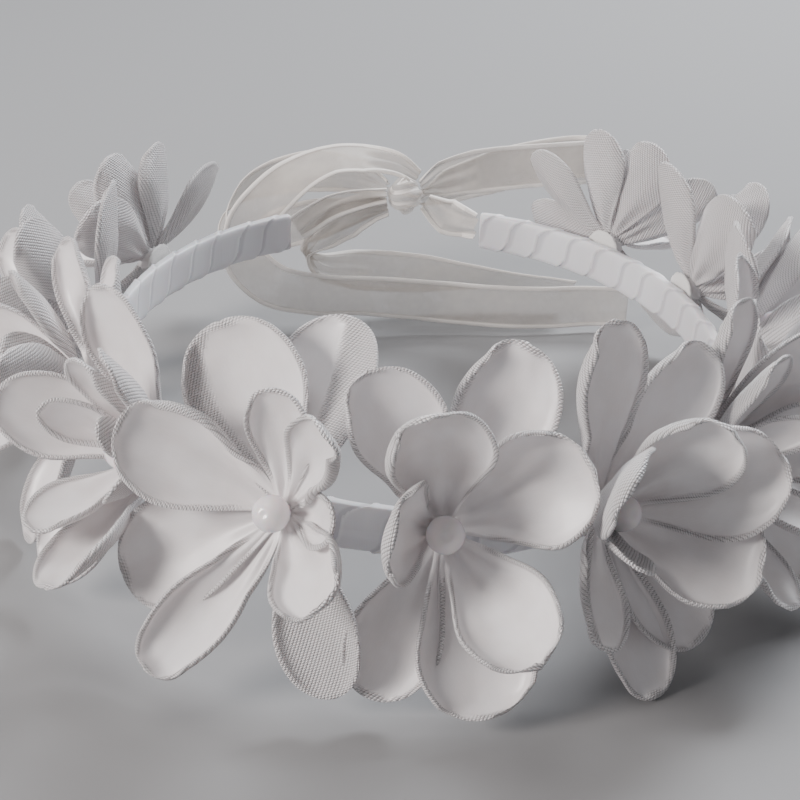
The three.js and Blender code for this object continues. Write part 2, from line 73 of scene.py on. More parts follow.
# ---------------------------------------------------------------- petals of each kind of flower
# turn is the petal's place round the flower from the top and open its angle from the flower's
# axis, in degrees. curl bends the tip back to the axis and cup wraps the petal across its
# width. left, right and tip roll those rims inwards. weave shows the ribbon's woven face
# on part of the inside: more than 0 on the left, less than 0 on the right, 2 all over.
PETAL_FIELDS = ("turn", "open", "length", "width", "curl", "cup", "left", "right", "tip", "weave")
SEED_STEPS = (7.31, 3.17, 1.93)     # from one flower, ring and petal to the next
FLOWER_KINDS = {
    "front_left": {
        "outer": [
            (330, 82, 1.06, 1.3, 30, 60, 110, 20, 10, 0.5),
            (5, 97, 1.06, 1.0, -10, 50, 15, 40, 10, -0.02),
            (290, 64, 1.02, 1.1, 30, 90, 15, 140, 40, 0),
            (238, 84, 0.98, 1.1, 10, 70, 30, 10, 10, 0),
            (206, 68, 1.14, 0.82, 30, 80, 70, 70, 60, 0),
            (152, 88, 0.98, 0.86, 10, 75, 20, 30, 10, 2),
        ],
        "inner": [
            (2, 54, 0.8, 0.7, 30, 60, 60, 15, 10, 0),
            (38, 46, 0.95, 0.75, 30, 90, 15, 150, 60, -0.7),
            (84, 50, 0.5, 0.55, 30, 80, 15, 15, 10, 0),
            (125, 50, 0.8, 0.95, 30, 80, 80, 80, 60, 0),
        ],
    },
    "front_middle": {
        "outer": [
            (25, 86, 1.06, 1.05, 30, 60, 130, 20, 10, 0.6),
            (334, 72, 0.95, 1.0, 30, 70, 110, 20, 10, 0),
            (62, 60, 0.95, 1.25, 30, 80, 90, 90, 60, 0),
            (165, 84, 1.02, 1.2, 30, 80, 50, 60, 60, 0),
            (203, 92, 0.95, 0.95, 30, 70, 40, 40, 10, 0),
        ],
        "inner": [
            (350, 44, 0.95, 1.1, 30, 80, 140, 20, 60, 0),
            (142, 48, 1.0, 1.05, 30, 90, 60, 60, 45, 0),
            (280, 24, 0.75, 1.0, 30, 60, 60, 60, 90, 0),
        ],
    },
    "front_right": {
        "outer": [
            (2, 66, 1.1, 0.8, 30, 60, 130, 20, 10, 0),
            (44, 76, 1.06, 0.9, 30, 60, 110, 20, 10, 0),
            (82, 46, 1.05, 1.2, 30, 80, 70, 30, 40, 0),
            (126, 54, 0.94, 1.2, 30, 80, 15, 70, 60, 0),
            (150, 86, 0.95, 0.9, 30, 60, 30, 30, 10, 0),
            (174, 86, 1.06, 0.8, 30, 70, 40, 40, 10, 0),
            (208, 60, 0.8, 0.6, 30, 60, 15, 90, 10, -0.2),
        ],
        "inner": [
            (318, 24, 0.72, 0.95, 30, 60, 40, 15, 60, 2),
            (46, 36, 0.9, 1.0, 30, 60, 110, 15, 50, 0),
            (216, 26, 0.6, 0.5, 30, 60, 15, 15, 10, 2),
        ],
    },
    "left": {
        "outer": [
            (336, 62, 1.0, 1.0, 30, 75, 80, 15, 10, 0),
            (20, 36, 0.96, 0.62, 30, 75, 15, 60, 10, 0),
            (112, 30, 0.62, 0.5, 30, 75, 15, 40, 10, 0),
            (156, 46, 1.04, 0.9, 30, 90, 60, 30, 10, 0),
            (206, 82, 1.0, 1.0, 30, 75, 15, 50, 10, 0),
            (272, 38, 0.94, 0.9, 30, 75, 70, 15, 10, 0),
        ],
        "inner": [
            (350, 34, 0.76, 0.7, 30, 80, 15, 60, 10, 0),
            (50, 20, 0.58, 0.42, 30, 75, 15, 15, 10, 0),
            (182, 38, 0.78, 0.7, 30, 75, 50, 15, 10, 0),
            (292, 22, 0.66, 0.5, 30, 75, 15, 15, 10, 0),
        ],
    },
    "right": {
        "outer": [
            (8, 60, 1.0, 0.82, 30, 75, 80, 15, 10, 0.6),
            (50, 44, 1.0, 0.85, 30, 75, 15, 60, 10, 0),
            (100, 36, 0.94, 0.85, 30, 75, 40, 15, 10, 0),
            (156, 80, 1.0, 0.95, 30, 75, 30, 60, 10, 0),
            (206, 56, 1.0, 0.8, 30, 75, 15, 50, 10, 0),
            (272, 20, 0.78, 0.6, 30, 75, 40, 15, 10, 0),
        ],
        "inner": [
            (6, 40, 0.8, 0.75, 30, 75, 60, 15, 10, 0),
            (76, 20, 0.6, 0.45, 30, 75, 15, 15, 10, 0),
            (180, 38, 0.78, 0.7, 30, 75, 15, 50, 10, 0),
            (230, 20, 0.52, 0.4, 30, 75, 15, 15, 10, 0),
        ],
    },
    "back_left": {
        "outer": [
            (306, 86, 0.86, 0.8, 30, 75, 60, 15, 10, 0),
            (340, 62, 0.8, 0.85, 30, 75, 15, 50, 10, 0),
            (16, 50, 0.8, 0.85, 30, 75, 60, 15, 10, 0),
            (56, 74, 0.9, 0.85, 30, 75, 15, 60, 10, 0),
            (150, 84, 1.0, 0.95, 30, 75, 50, 15, 40, 0),
            (208, 72, 0.95, 0.85, 30, 75, 15, 50, 10, 0),
        ],
        "inner": [
            (326, 40, 0.66, 0.6, 30, 75, 50, 15, 10, 0),
            (36, 28, 0.66, 0.6, 30, 75, 15, 50, 10, 0),
            (180, 38, 0.7, 0.7, 30, 75, 40, 15, 10, 0),
            (256, 24, 0.6, 0.48, 30, 75, 15, 15, 10, 0),
        ],
    },
    "back_right": {
        "outer": [
            (54, 84, 0.88, 0.8, 30, 75, 15, 60, 10, 0),
            (20, 62, 0.82, 0.85, 30, 75, 50, 15, 10, 0),
            (344, 50, 0.8, 0.85, 30, 75, 15, 60, 10, 0),
            (96, 88, 0.86, 0.8, 30, 75, 60, 15, 10, 0),
            (206, 84, 1.0, 0.95, 30, 75, 15, 50, 40, 0),
            (290, 34, 0.86, 0.7, 30, 75, 50, 15, 10, 0),
        ],
        "inner": [
            (34, 40, 0.66, 0.6, 30, 75, 15, 50, 10, 0),
            (324, 28, 0.66, 0.6, 30, 75, 50, 15, 10, 0),
            (180, 38, 0.7, 0.7, 30, 75, 15, 40, 10, 0),
            (104, 24, 0.6, 0.48, 30, 75, 15, 15, 10, 0),
        ],
    },
    "side_a": {
        "outer": [
            (346, 74, 0.88, 0.95, 30, 75, 80, 20, 10, 0),
            (36, 42, 0.88, 0.85, 30, 75, 15, 70, 10, 0),
            (94, 32, 0.92, 0.85, 30, 75, 60, 15, 10, 0),
            (148, 54, 1.0, 0.9, 30, 75, 15, 40, 40, 0),
            (194, 88, 1.03, 0.95, 30, 75, 60, 15, 10, 0),
            (264, 32, 0.95, 0.85, 30, 75, 15, 60, 10, 0),
        ],
        "inner": [
            (10, 40, 0.8, 0.8, 30, 80, 60, 15, 10, 0),
            (118, 20, 0.6, 0.45, 30, 75, 15, 15, 10, 0),
            (172, 36, 0.78, 0.7, 30, 75, 15, 15, 40, 0),
            (296, 20, 0.64, 0.48, 30, 75, 15, 15, 10, 0),
        ],
    },
    "side_b": {
        "outer": [
            (16, 76, 0.88, 0.92, 30, 75, 15, 60, 10, 0),
            (84, 32, 0.92, 0.85, 30, 75, 50, 15, 10, 0),
            (166, 88, 1.03, 0.95, 30, 75, 40, 40, 10, 0),
            (208, 56, 1.0, 0.9, 30, 75, 15, 15, 50, 0),
            (268, 30, 0.95, 0.8, 30, 75, 15, 60, 10, 0),
            (326, 66, 0.88, 0.88, 30, 75, 90, 15, 10, 0),
        ],
        "inner": [
            (350, 38, 0.8, 0.75, 30, 75, 15, 70, 10, 0),
            (54, 20, 0.64, 0.48, 30, 75, 15, 15, 10, 0),
            (184, 38, 0.78, 0.7, 30, 75, 50, 15, 10, 0),
            (238, 20, 0.6, 0.45, 30, 75, 15, 15, 10, 0),
        ],
    },
}

# The kind of each flower, from the left back end of the band round to the right back end.
FLOWERS = [
    "back_left", "side_a", "side_b", "left", "front_left", "front_middle",
    "front_right", "right", "side_b", "side_a", "side_b", "back_right",
]

# Radii and heights of the petals' gathered roots, along each flower's axis.
OUTER_HUB_RADIUS = 3.8 * MM
INNER_HUB_RADIUS = 2.6 * MM
OUTER_START = 3.0 * MM
INNER_START = 2.2 * MM
HUB_HEIGHT = 3.0 * MM
OUTER_BASE = 3.41 * MM
INNER_BASE = 6.71 * MM
BACKING_THICKNESS = 1.2 * MM

# ---------------------------------------------------------------- the tie's strands
# x and y are percentages of the hoop's half width and half depth and z is in millimetres from
# the band's middle. lean turns the face about the route and spread is how far it is open.
STRANDS = {
    "tie_long_tail": dict(points=[
        (12.2, 108.5, 12, 50, 0.4), (3.8, 109.9, 16, 60, 0.7), (-9, 111, 17.5, 70, 1),
        (-21.8, 110.5, 17, 72, 1), (-35.9, 108.3, 12.5, 60, 1), (-47.4, 106.1, 5, 40, 1),
        (-55.1, 103.9, -3, 20, 1), (-56.4, 100.6, -11, 4, 1), (-46.2, 97.2, -19, 0, 1),
        (-28.2, 93.9, -21.5, 0, 1), (-11.5, 91.7, -21, 6, 1), (5.1, 90.6, -21.5, 6, 1),
        (23.1, 90.6, -23, 0, 1), (43.6, 89.5, -24, -4, 1), (64.1, 89.5, -24.5, 0, 1),
        (82.1, 90.6, -24.5, 4, 1), (96.2, 89.5, -24.5, 4, 1),
    ]),
    "tie_short_tail": dict(points=[
        (0, 102.8, 4.5, 0, 0.4), (-7.7, 103.3, 3.5, 8, 0.7), (-16.7, 103.3, 0, 16, 0.9),
        (-24.4, 103.3, -5, 30, 0.7), (-31.5, 102.8, -11, 90, 0.4), (-25.6, 103.9, -15.5, 150, 0.6),
        (-12.8, 105.5, -17.5, 160, 0.9), (3.8, 107.2, -19, 180, 1), (23.1, 107.2, -20, 200, 1),
        (43.6, 106.1, -21, 220, 1), (61.5, 105, -22, 230, 1), (76.9, 103.9, -23, 230, 1),
    ]),
    "tie_left_loop": dict(points=[
        (0, 107.8, 9, 10, 0.3), (-10.3, 114.4, 10.5, 6, 0.8), (-26.9, 118.2, 11, 0, 1),
        (-42.3, 119.3, 8.5, -10, 1), (-55.1, 118.8, 4, -35, 1), (-64.1, 116, -3, -65, 1),
        (-64.1, 113, -9, -85, 1), (-53.8, 113, -9.5, -80, 1), (-41, 112.5, -6, -50, 1),
        (-25.6, 110.4, -2, -20, 0.9), (-11.5, 107.7, 2, 0, 0.6), (0, 107, 4.5, 0, 0.3),
    ]),
    "tie_right_loop": dict(carried=True, points=[
        (13.6, 107.2, 9, 10, 0.3), (21.8, 109.4, 11, 0, 0.8), (35.9, 112.7, 12.5, 0, 1),
        (53.8, 116, 13, 0, 1), (70, 119, 13, 0, 1), (82.5, 122, 12.8, 0, 1),
        (88.5, 126.5, 12.5, 0, 1), (82.5, 130.5, 12, 0, 1), (64.1, 128.2, 11, 0, 1),
        (43.6, 122.7, 9, 0, 1), (24.4, 114.4, 7, 0, 0.8), (13.6, 108.3, 5, 0, 0.3),
    ]),
    "tie_left_lead": dict(folds=2, points=[
        (-36.4, 93.9, 0.8, 0, 0.64), (-32.1, 94.6, 3, 0, 0.64), (-23.1, 97, 6.5, 0, 0.58),
        (-10.3, 99.8, 8.4, 0, 0.45), (-1, 101.2, 9, 0, 0.34),
    ]),
    "tie_right_lead": dict(folds=2, points=[
        (34.1, 94.6, 1, 0, 0.6), (29.5, 96.7, 1.5, -12, 0.8), (23.1, 99.4, 2.5, 12, 0.8),
        (14.9, 101.7, 6.5, 0, 0.4),
    ]),
}


# ---------------------------------------------------------------- node trees in plain arithmetic
class Value:
    """An output of a node, usable in Python arithmetic, which adds Math nodes to its tree."""

    def __init__(self, graph, socket):
        self.graph = graph
        self.socket = socket

    def maths(self, operation, *others):
        return self.graph.add(
            "ShaderNodeMath", {"operation": operation}, dict(enumerate((self, *others)))
        )

    def __add__(self, other):
        return self.maths("ADD", other)

    def __radd__(self, other):
        return self.maths("ADD", other)

    def __mul__(self, other):
        return self.maths("MULTIPLY", other)

    def __rmul__(self, other):
        return self.maths("MULTIPLY", other)

    def __sub__(self, other):
        return self.maths("SUBTRACT", other)

    def __rsub__(self, other):
        return self.graph.number("SUBTRACT", other, self)

    def __truediv__(self, other):
        return self.maths("DIVIDE", other)

    def __rtruediv__(self, other):
        return self.graph.number("DIVIDE", other, self)

    def __pow__(self, other):
        return self.maths("POWER", other)

    def __gt__(self, other):
        return self.maths("GREATER_THAN", other)

    def __lt__(self, other):
        return self.maths("LESS_THAN", other)


class Graph:
    """Builds a shader or geometry tree: add() makes any node from its settings and sockets."""

    def __init__(self, tree):
        self.tree = tree

    def add(self, kind, settings=None, sockets=None, output=0):
        node = self.tree.nodes.new(kind)
        for name, setting in (settings or {}).items():
            setattr(node, name, setting)
        for key, value in (sockets or {}).items():
            self.feed(node.inputs[key], value)
        return Value(self, node.outputs[output]) if node.outputs else node

    def feed(self, target, value):
        if isinstance(value, Value):
            self.tree.links.new(value.socket, target)
        else:
            target.default_value = value

    def number(self, operation, *values):
        return self.add("ShaderNodeMath", {"operation": operation}, dict(enumerate(values)))

    def sine(self, value):
        return self.number("SINE", value)

    def cosine(self, value):
        return self.number("COSINE", value)

    def root(self, value):
        return self.number("SQRT", value)

    def size(self, value):
        return self.number("ABSOLUTE", value)

    def sign(self, value):
        return self.number("SIGN", value)

    def least(self, one, other):
        return self.number("MINIMUM", one, other)

    def most(self, one, other):
        return self.number("MAXIMUM", one, other)

    def fraction(self, value):
        return self.number("FRACT", value)

    def whole(self, value):
        return self.number("FLOOR", value)

    def bell(self, value):
        return self.number("EXPONENT", -1.0 * (value * value))

    def ease(self, value, start, end):
        """0 before start, 1 after end and smooth between them."""
        return self.add(
            "ShaderNodeMapRange",
            {"interpolation_type": "SMOOTHSTEP"},
            {"Value": value, "From Min": start, "From Max": end},
        )

    def either(self, test, when_one, when_zero):
        return when_zero + test * (when_one - when_zero)

    def vector(self, x, y, z):
        return self.add("ShaderNodeCombineXYZ", None, {0: x, 1: y, 2: z})

    def parts(self, vector):
        node = self.tree.nodes.new("ShaderNodeSeparateXYZ")
        self.feed(node.inputs[0], vector)
        return tuple(Value(self, output) for output in node.outputs)

    def scaled(self, vector, share):
        return self.add(
            "ShaderNodeVectorMath", {"operation": "SCALE"}, {"Vector": vector, "Scale": share}
        )

    def sum_of(self, first, *others):
        for other in others:
            first = self.add("ShaderNodeVectorMath", {"operation": "ADD"}, {0: first, 1: other})
        return first

    def noise(self, place, scale, detail=2.0, roughness=0.5):
        return self.add(
            "ShaderNodeTexNoise",
            {"noise_dimensions": "3D"},
            {"Vector": place, "Scale": scale, "Detail": detail, "Roughness": roughness},
        )

    def mixed(self, share, first, second):
        """A colour from first to second."""
        node = self.tree.nodes.new("ShaderNodeMix")
        node.data_type = "RGBA"
        for name, value in (("Factor_Float", share), ("A_Color", first), ("B_Color", second)):
            self.feed(next(s for s in node.inputs if s.identifier == name), value)
        return Value(self, next(s for s in node.outputs if s.identifier == "Result_Color"))

    def named_inputs(self, wanted):
        """Declares a geometry tree's inputs and returns them by name."""
        for name, kind in wanted:
            self.tree.interface.new_socket(name, in_out="INPUT", socket_type="NodeSocket" + kind)
        self.tree.interface.new_socket(
            "Geometry", in_out="OUTPUT", socket_type="NodeSocketGeometry")
        entry = self.tree.nodes.new("NodeGroupInput")
        return {name: Value(self, entry.outputs[name]) for name, _ in wanted}

    def attribute(self, name):
        """A named number of each point, in a geometry tree."""
        return self.add("GeometryNodeInputNamedAttribute", {"data_type": "FLOAT"}, {"Name": name})

    def stored(self, geometry, name, value, kind="FLOAT"):
        return self.add(
            "GeometryNodeStoreNamedAttribute",
            {"data_type": kind, "domain": "POINT"},
            {"Geometry": geometry, "Name": name, "Value": value},
        )

    def moved(self, geometry, position):
        return self.add(
            "GeometryNodeSetPosition", None, {"Geometry": geometry, "Position": position}
        )

    def joined(self, *geometries):
        node = self.tree.nodes.new("GeometryNodeJoinGeometry")
        for geometry in reversed(geometries):
            self.tree.links.new(geometry.socket, node.inputs[0])
        return Value(self, node.outputs[0])

    def finished(self, geometry, material):
        """Ends a geometry tree: real mesh, smooth shading and the material."""
        geometry = self.add("GeometryNodeRealizeInstances", None, {"Geometry": geometry})
        geometry = self.add("GeometryNodeSetShadeSmooth", None, {"Geometry": geometry})
        geometry = self.add(
            "GeometryNodeSetMaterial", None, {"Geometry": geometry, "Material": material}
        )
        leave = self.tree.nodes.new("NodeGroupOutput")
        self.tree.links.new(geometry.socket, leave.inputs[0])


def baked(name, start, tree, values):
    """Runs a geometry tree on a mesh with these named inputs and returns the plain result."""
    piece = bpy.data.objects.new(name, start)
    bpy.context.scene.collection.objects.link(piece)
    modifier = piece.modifiers.new("shape", "NODES")
    modifier.node_group = tree
    for item in tree.interface.items_tree:
        if item.in_out == "INPUT" and item.name in values:
            modifier[item.identifier] = values[item.name]
    bpy.context.view_layer.update()
    evaluated = piece.evaluated_get(bpy.context.evaluated_depsgraph_get())
    mesh = bpy.data.meshes.new_from_object(evaluated)
    piece.modifiers.remove(modifier)
    piece.data = mesh
    mesh.name = name
    return piece


def mesh_piece(name, points, faces, material, attributes=None):
    """A smooth mesh object with extra numbers or vectors on its points."""
    mesh = bpy.data.meshes.new(name)
    mesh.from_pydata([tuple(p) for p in points], [], [tuple(f) for f in faces])
    mesh.polygons.foreach_set("use_smooth", [True] * len(mesh.polygons))
    for key, values in (attributes or {}).items():
        values = np.asarray(values, np.float32)
        kind = "FLOAT" if values.ndim == 1 else "FLOAT_VECTOR"
        layer = mesh.attributes.new(key, kind, "POINT")
        layer.data.foreach_set("value" if values.ndim == 1 else "vector", values.ravel())
    mesh.materials.append(material)
    piece = bpy.data.objects.new(name, mesh)
    bpy.context.scene.collection.objects.link(piece)
    return piece


def hand_over(piece, node):
    """The piece rides on the crown and stands in for its CAD node, which is hidden."""
    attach(piece, "root")
    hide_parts(node)
    return piece


# ---------------------------------------------------------------- materials
def new_material(name):
    material = bpy.data.materials.new(name)
    material.use_nodes = True
    graph = Graph(material.node_tree)
    shader = material.node_tree.nodes["Principled BSDF"]
    return material, graph, shader


def wire(graph, shader, **sockets):
    names = {"colour": "Base Color", "roughness": "Roughness", "alpha": "Alpha", "normal": "Normal"}
    for key, value in sockets.items():
        graph.feed(shader.inputs[names[key]], value)


def constants(shader, **values):
    for key, value in values.items():
        shader.inputs[key.replace("_", " ")].default_value = value


def bump(graph, height, distance, strength=1.0, normal=None):
    sockets = {"Height": height, "Distance": distance, "Strength": strength}
    if normal is not None:
        sockets["Normal"] = normal
    return graph.add("ShaderNodeBump", None, sockets)


def weave_height(graph, across, along, cell_width, cell_height):
    """Rows of slanting raised cells, each row shifted from the last, as on a satin's back."""
    row = along * (1.0 / cell_height)
    shifted = across * (1.0 / cell_width) + graph.whole(row) * 0.37 + graph.fraction(row) * 0.45
    swell = graph.sine(graph.fraction(shifted) * math.pi)
    rise = graph.sine(graph.fraction(row) * math.pi)
    return graph.root(swell * rise)


def satin_material(name, colour, shade, cell=0.85):
    """Satin: fine lengthways streaks, with a painted sheen, on the shiny face and raised cells,
    with painted gap shade and glints, on the woven face.
    """
    material, graph, shader = new_material(name)
    cloth = graph.add("ShaderNodeAttribute", {"attribute_name": "cloth"}, None, 1)
    woven = graph.add("ShaderNodeAttribute", {"attribute_name": "woven"}, None, 2)
    across, along, seed = graph.parts(cloth)
    cells = weave_height(graph, across, along, cell, cell * 0.6)
    streaks = graph.noise(graph.vector(across * 5.0, along * 0.45, seed), 1.0, 4.0, 0.7)
    patches = graph.noise(graph.vector(across * 0.12, along * 0.1, seed), 1.0, 2.0)
    fibres = graph.sine(across * 26.0 + streaks * 9.0)
    sparkle = graph.noise(graph.vector(across * 3.1, along * 3.1, seed), 1.0, 2.0, 0.8)
    glint = graph.ease(sparkle, 0.56, 0.72)

    body = graph.mixed(graph.ease(patches, 0.32, 0.68), shade, colour)
    # Painted sheen: the grain streaks on the shiny face lighten the colour towards white.
    painted_sheen_body = graph.mixed((streaks - 0.35) * 0.5 * (1.0 - woven), body, (1.0, 0.985, 0.97, 1.0))
    # Painted shade: the gaps between the raised cells are darkened.
    gaps = tuple(channel * 0.52 for channel in shade[:3]) + (1.0,)
    gap_shaded_cells = graph.mixed(1.0 - graph.ease(cells, 0.12, 0.62), colour, gaps)
    # Painted glints: scattered spots on the tops of the cells lighten towards white.
    lit = graph.mixed(glint * graph.ease(cells, 0.6, 0.95) * 0.8, gap_shaded_cells, (1.0, 1.0, 1.0, 1.0))
    roughness = graph.either(woven, 0.42 - glint * 0.18, 0.24 + streaks * 0.24)
    fine = (streaks * 0.8 + fibres * 0.1) * (1.0 - woven)
    height = fine * 0.07 + cells * woven
    wire(graph, shader, colour=graph.mixed(woven, painted_sheen_body, lit), roughness=roughness,
         normal=bump(graph, height, 0.40 * MM, 0.95))
    constants(shader, Sheen_Weight=0.25, Sheen_Roughness=0.35, Subsurface_Weight=0.10,
              Subsurface_Scale=0.003, Specular_IOR_Level=0.65)
    shader.inputs["Subsurface Radius"].default_value = (1.0, 0.75, 0.7)
    return material


def band_material(colour, shade):
    """Wound satin: threads across the band, a painted soft shadow under each overlap, a painted
    highlight on each overlap's edge and painted sheen along the streaks.
    """
    material, graph, shader = new_material("band_satin")
    cloth = graph.add("ShaderNodeAttribute", {"attribute_name": "cloth"}, None, 1)
    fold = graph.add("ShaderNodeAttribute", {"attribute_name": "fold"}, None, 2)
    around, along, seed = graph.parts(cloth)
    streaks = graph.noise(graph.vector(around * 0.5, along * 4.5, seed), 1.0, 4.0, 0.65)
    patches = graph.noise(graph.vector(around * 0.05, along * 0.06, seed), 1.0, 2.0)
    threads = graph.sine(along * 16.0)
    body = graph.mixed(graph.ease(patches, 0.3, 0.7), shade, colour)
    # Painted shadow: the band darkens just below the edge of each overlapping turn.
    under = graph.ease(fold, 0.78, 0.90) * 0.5
    # Painted highlight: a thin bright line along the edge of each overlapping turn.
    rim = graph.bell((fold - 0.03) * 22.0) * 0.35
    shaded = graph.mixed(under, body, (0.45, 0.42, 0.46, 1.0))
    # The edge highlight and the streaks lighten the colour towards white, as painted highlight and
    # painted sheen.
    bright = graph.mixed(rim + (streaks - 0.4) * 0.25, shaded, (1.0, 0.99, 0.98, 1.0))
    wire(graph, shader, colour=bright, roughness=0.34 + streaks * 0.22,
         normal=bump(graph, streaks * 0.8 + threads * 0.12, 0.06 * MM, 0.7))
    constants(shader, Sheen_Weight=0.2, Sheen_Roughness=0.35, Subsurface_Weight=0.12,
              Subsurface_Scale=0.003, Specular_IOR_Level=0.55)
    return material


def pearl_material(colour):
    """Pearl lacquer: a soft body under a clear coat, a little uneven, with a painted cool sheen
    towards its outline.
    """
    material, graph, shader = new_material("pearl")
    place = graph.add("ShaderNodeTexCoord", None, None, 3)
    cloud = graph.noise(place, 260.0, 3.0)
    pits = graph.noise(place, 900.0, 2.0)
    # Painted sheen: the colour turns cool and pale towards the bead's outline as seen from the
    # camera.
    facing = graph.add("ShaderNodeLayerWeight", None, {"Blend": 0.35}, 1)
    warm = graph.mixed(graph.ease(cloud, 0.35, 0.65), colour, (0.84, 0.80, 0.80, 1.0))
    painted_edge_sheen = graph.mixed(facing * 0.5, warm, (0.80, 0.80, 0.90, 1.0))
    wire(graph, shader, colour=painted_edge_sheen, roughness=0.24 + cloud * 0.14,
         normal=bump(graph, pits * 0.5 + cloud, 0.10 * MM, 0.5))
    constants(shader, Coat_Weight=0.7, Coat_Roughness=0.06, Subsurface_Weight=0.35,
              Subsurface_Scale=0.003)
    return material


def felt_material(colour):
    """Pressed felt: matt, with short tangled fibres."""
    material, graph, shader = new_material("felt")
    place = graph.add("ShaderNodeTexCoord", None, None, 3)
    tangle = graph.noise(place, 1500.0, 5.0, 0.75)
    wire(graph, shader, colour=graph.mixed(tangle, colour, (0.9, 0.89, 0.87, 1.0)),
         roughness=0.86 + tangle * 0.1, normal=bump(graph, tangle, 0.25 * MM))
    constants(shader, Sheen_Weight=0.5)
    return material


def strip_material(colour):
    """The springy plastic strip inside the band, with drawn lines along it."""
    material, graph, shader = new_material("band_core")
    place = graph.add("ShaderNodeTexCoord", None, None, 3)
    x, y, z = graph.parts(place)
    lines = graph.noise(graph.vector(x * 30.0, y * 30.0, z * 2500.0), 1.0, 3.0)
    wire(graph, shader, colour=graph.mixed(lines * 0.4, colour, (0.75, 0.74, 0.72, 1.0)),
         roughness=0.35 + lines * 0.2, normal=bump(graph, lines, 0.05 * MM))
    constants(shader, Subsurface_Weight=0.2, Subsurface_Scale=0.002)
    return material


def organza_material(colour, body_alpha, edge_width):
    """Sheer ribbon: fine crossed threads with gaps, and dense woven edges, whose lighter colour is
    partly their close weave and partly a painted highlight.
    """
    material, graph, shader = new_material("organza")
    cloth = graph.add("ShaderNodeAttribute", {"attribute_name": "cloth"}, None, 1)
    edge = graph.add("ShaderNodeAttribute", {"attribute_name": "edge"}, None, 2)
    across, along, seed = graph.parts(cloth)
    threads = graph.sine(across * 21.0) * 0.5 + graph.sine(along * 21.0) * 0.5
    clouds = graph.noise(graph.vector(across * 0.1, along * 0.09, seed), 1.0, 3.0)
    dense = 1.0 - graph.ease(edge, edge_width * 0.75, edge_width * 1.05)
    cord = graph.bell((edge - edge_width * 0.45) * (2.0 / edge_width))
    haze = body_alpha + (clouds - 0.5) * 0.4 + threads * 0.07
    cloudy = graph.mixed(graph.ease(clouds, 0.42, 0.72) * 0.45, colour, (0.86, 0.81, 0.75, 1.0))
    # The dense edges are coloured lighter: partly their close cream weave, partly a painted
    # highlight on their rounded rims.
    wire(graph, shader, colour=graph.mixed(dense, cloudy, (0.98, 0.935, 0.89, 1.0)),
         roughness=0.34 + clouds * 0.2, alpha=graph.either(dense, 0.96, haze),
         normal=bump(graph, threads * 0.3 + cord + clouds * 0.6, 0.12 * MM, 0.8))
    constants(shader, Sheen_Weight=0.35, Sheen_Roughness=0.3, Specular_IOR_Level=0.6)
    return material


# ---------------------------------------------------------------- petals
PETAL_INPUTS = [
    ("Petals", "Geometry"), ("Length", "Float"), ("Width", "Float"), ("Body", "Float"),
    ("Rim", "Float"), ("Rim Width", "Float"), ("Roll Width", "Float"), ("Wave", "Float"),
    ("Crease", "Float"), ("Start", "Float"), ("Base", "Float"), ("Hub Radius", "Float"),
    ("Hub Height", "Float"), ("Seed", "Float"), ("Seat", "Vector"), ("Right", "Vector"),
    ("Top", "Vector"), ("Axis", "Vector"), ("Material", "Material"),
]
COLUMNS = 31
ROWS = 41
RIM_CROWDING = 1.35     # brings the columns closer together towards the rims
WIDEST = 0.60           # share of the length where a petal starts to round off
ROLL_FROM = 0.86        # share of the length where the tip begins to roll


def arc(graph, angle, rate, run):
    """Steps sideways and ahead along a line that starts at angle and turns back at rate."""
    end = angle - rate * run
    sideways = (graph.cosine(end) - graph.cosine(angle)) / rate
    ahead = (graph.sine(angle) - graph.sine(end)) / rate
    return sideways, ahead, end


def petal_outline(graph, width, share):
    """Half width at a share of the length: narrow root, broad middle and round tip."""
    swell = graph.least(0.06 + share ** 1.3 * 0.78, 0.5)
    broad = graph.sine(swell * math.pi)
    past = graph.most((share - WIDEST) * (1.0 / (1.0 - WIDEST)), 0.0)
    tip = graph.root(graph.most(1.0 - past ** 2.2, 0.0))
    return width * broad * 0.5, width * broad * tip * 0.5


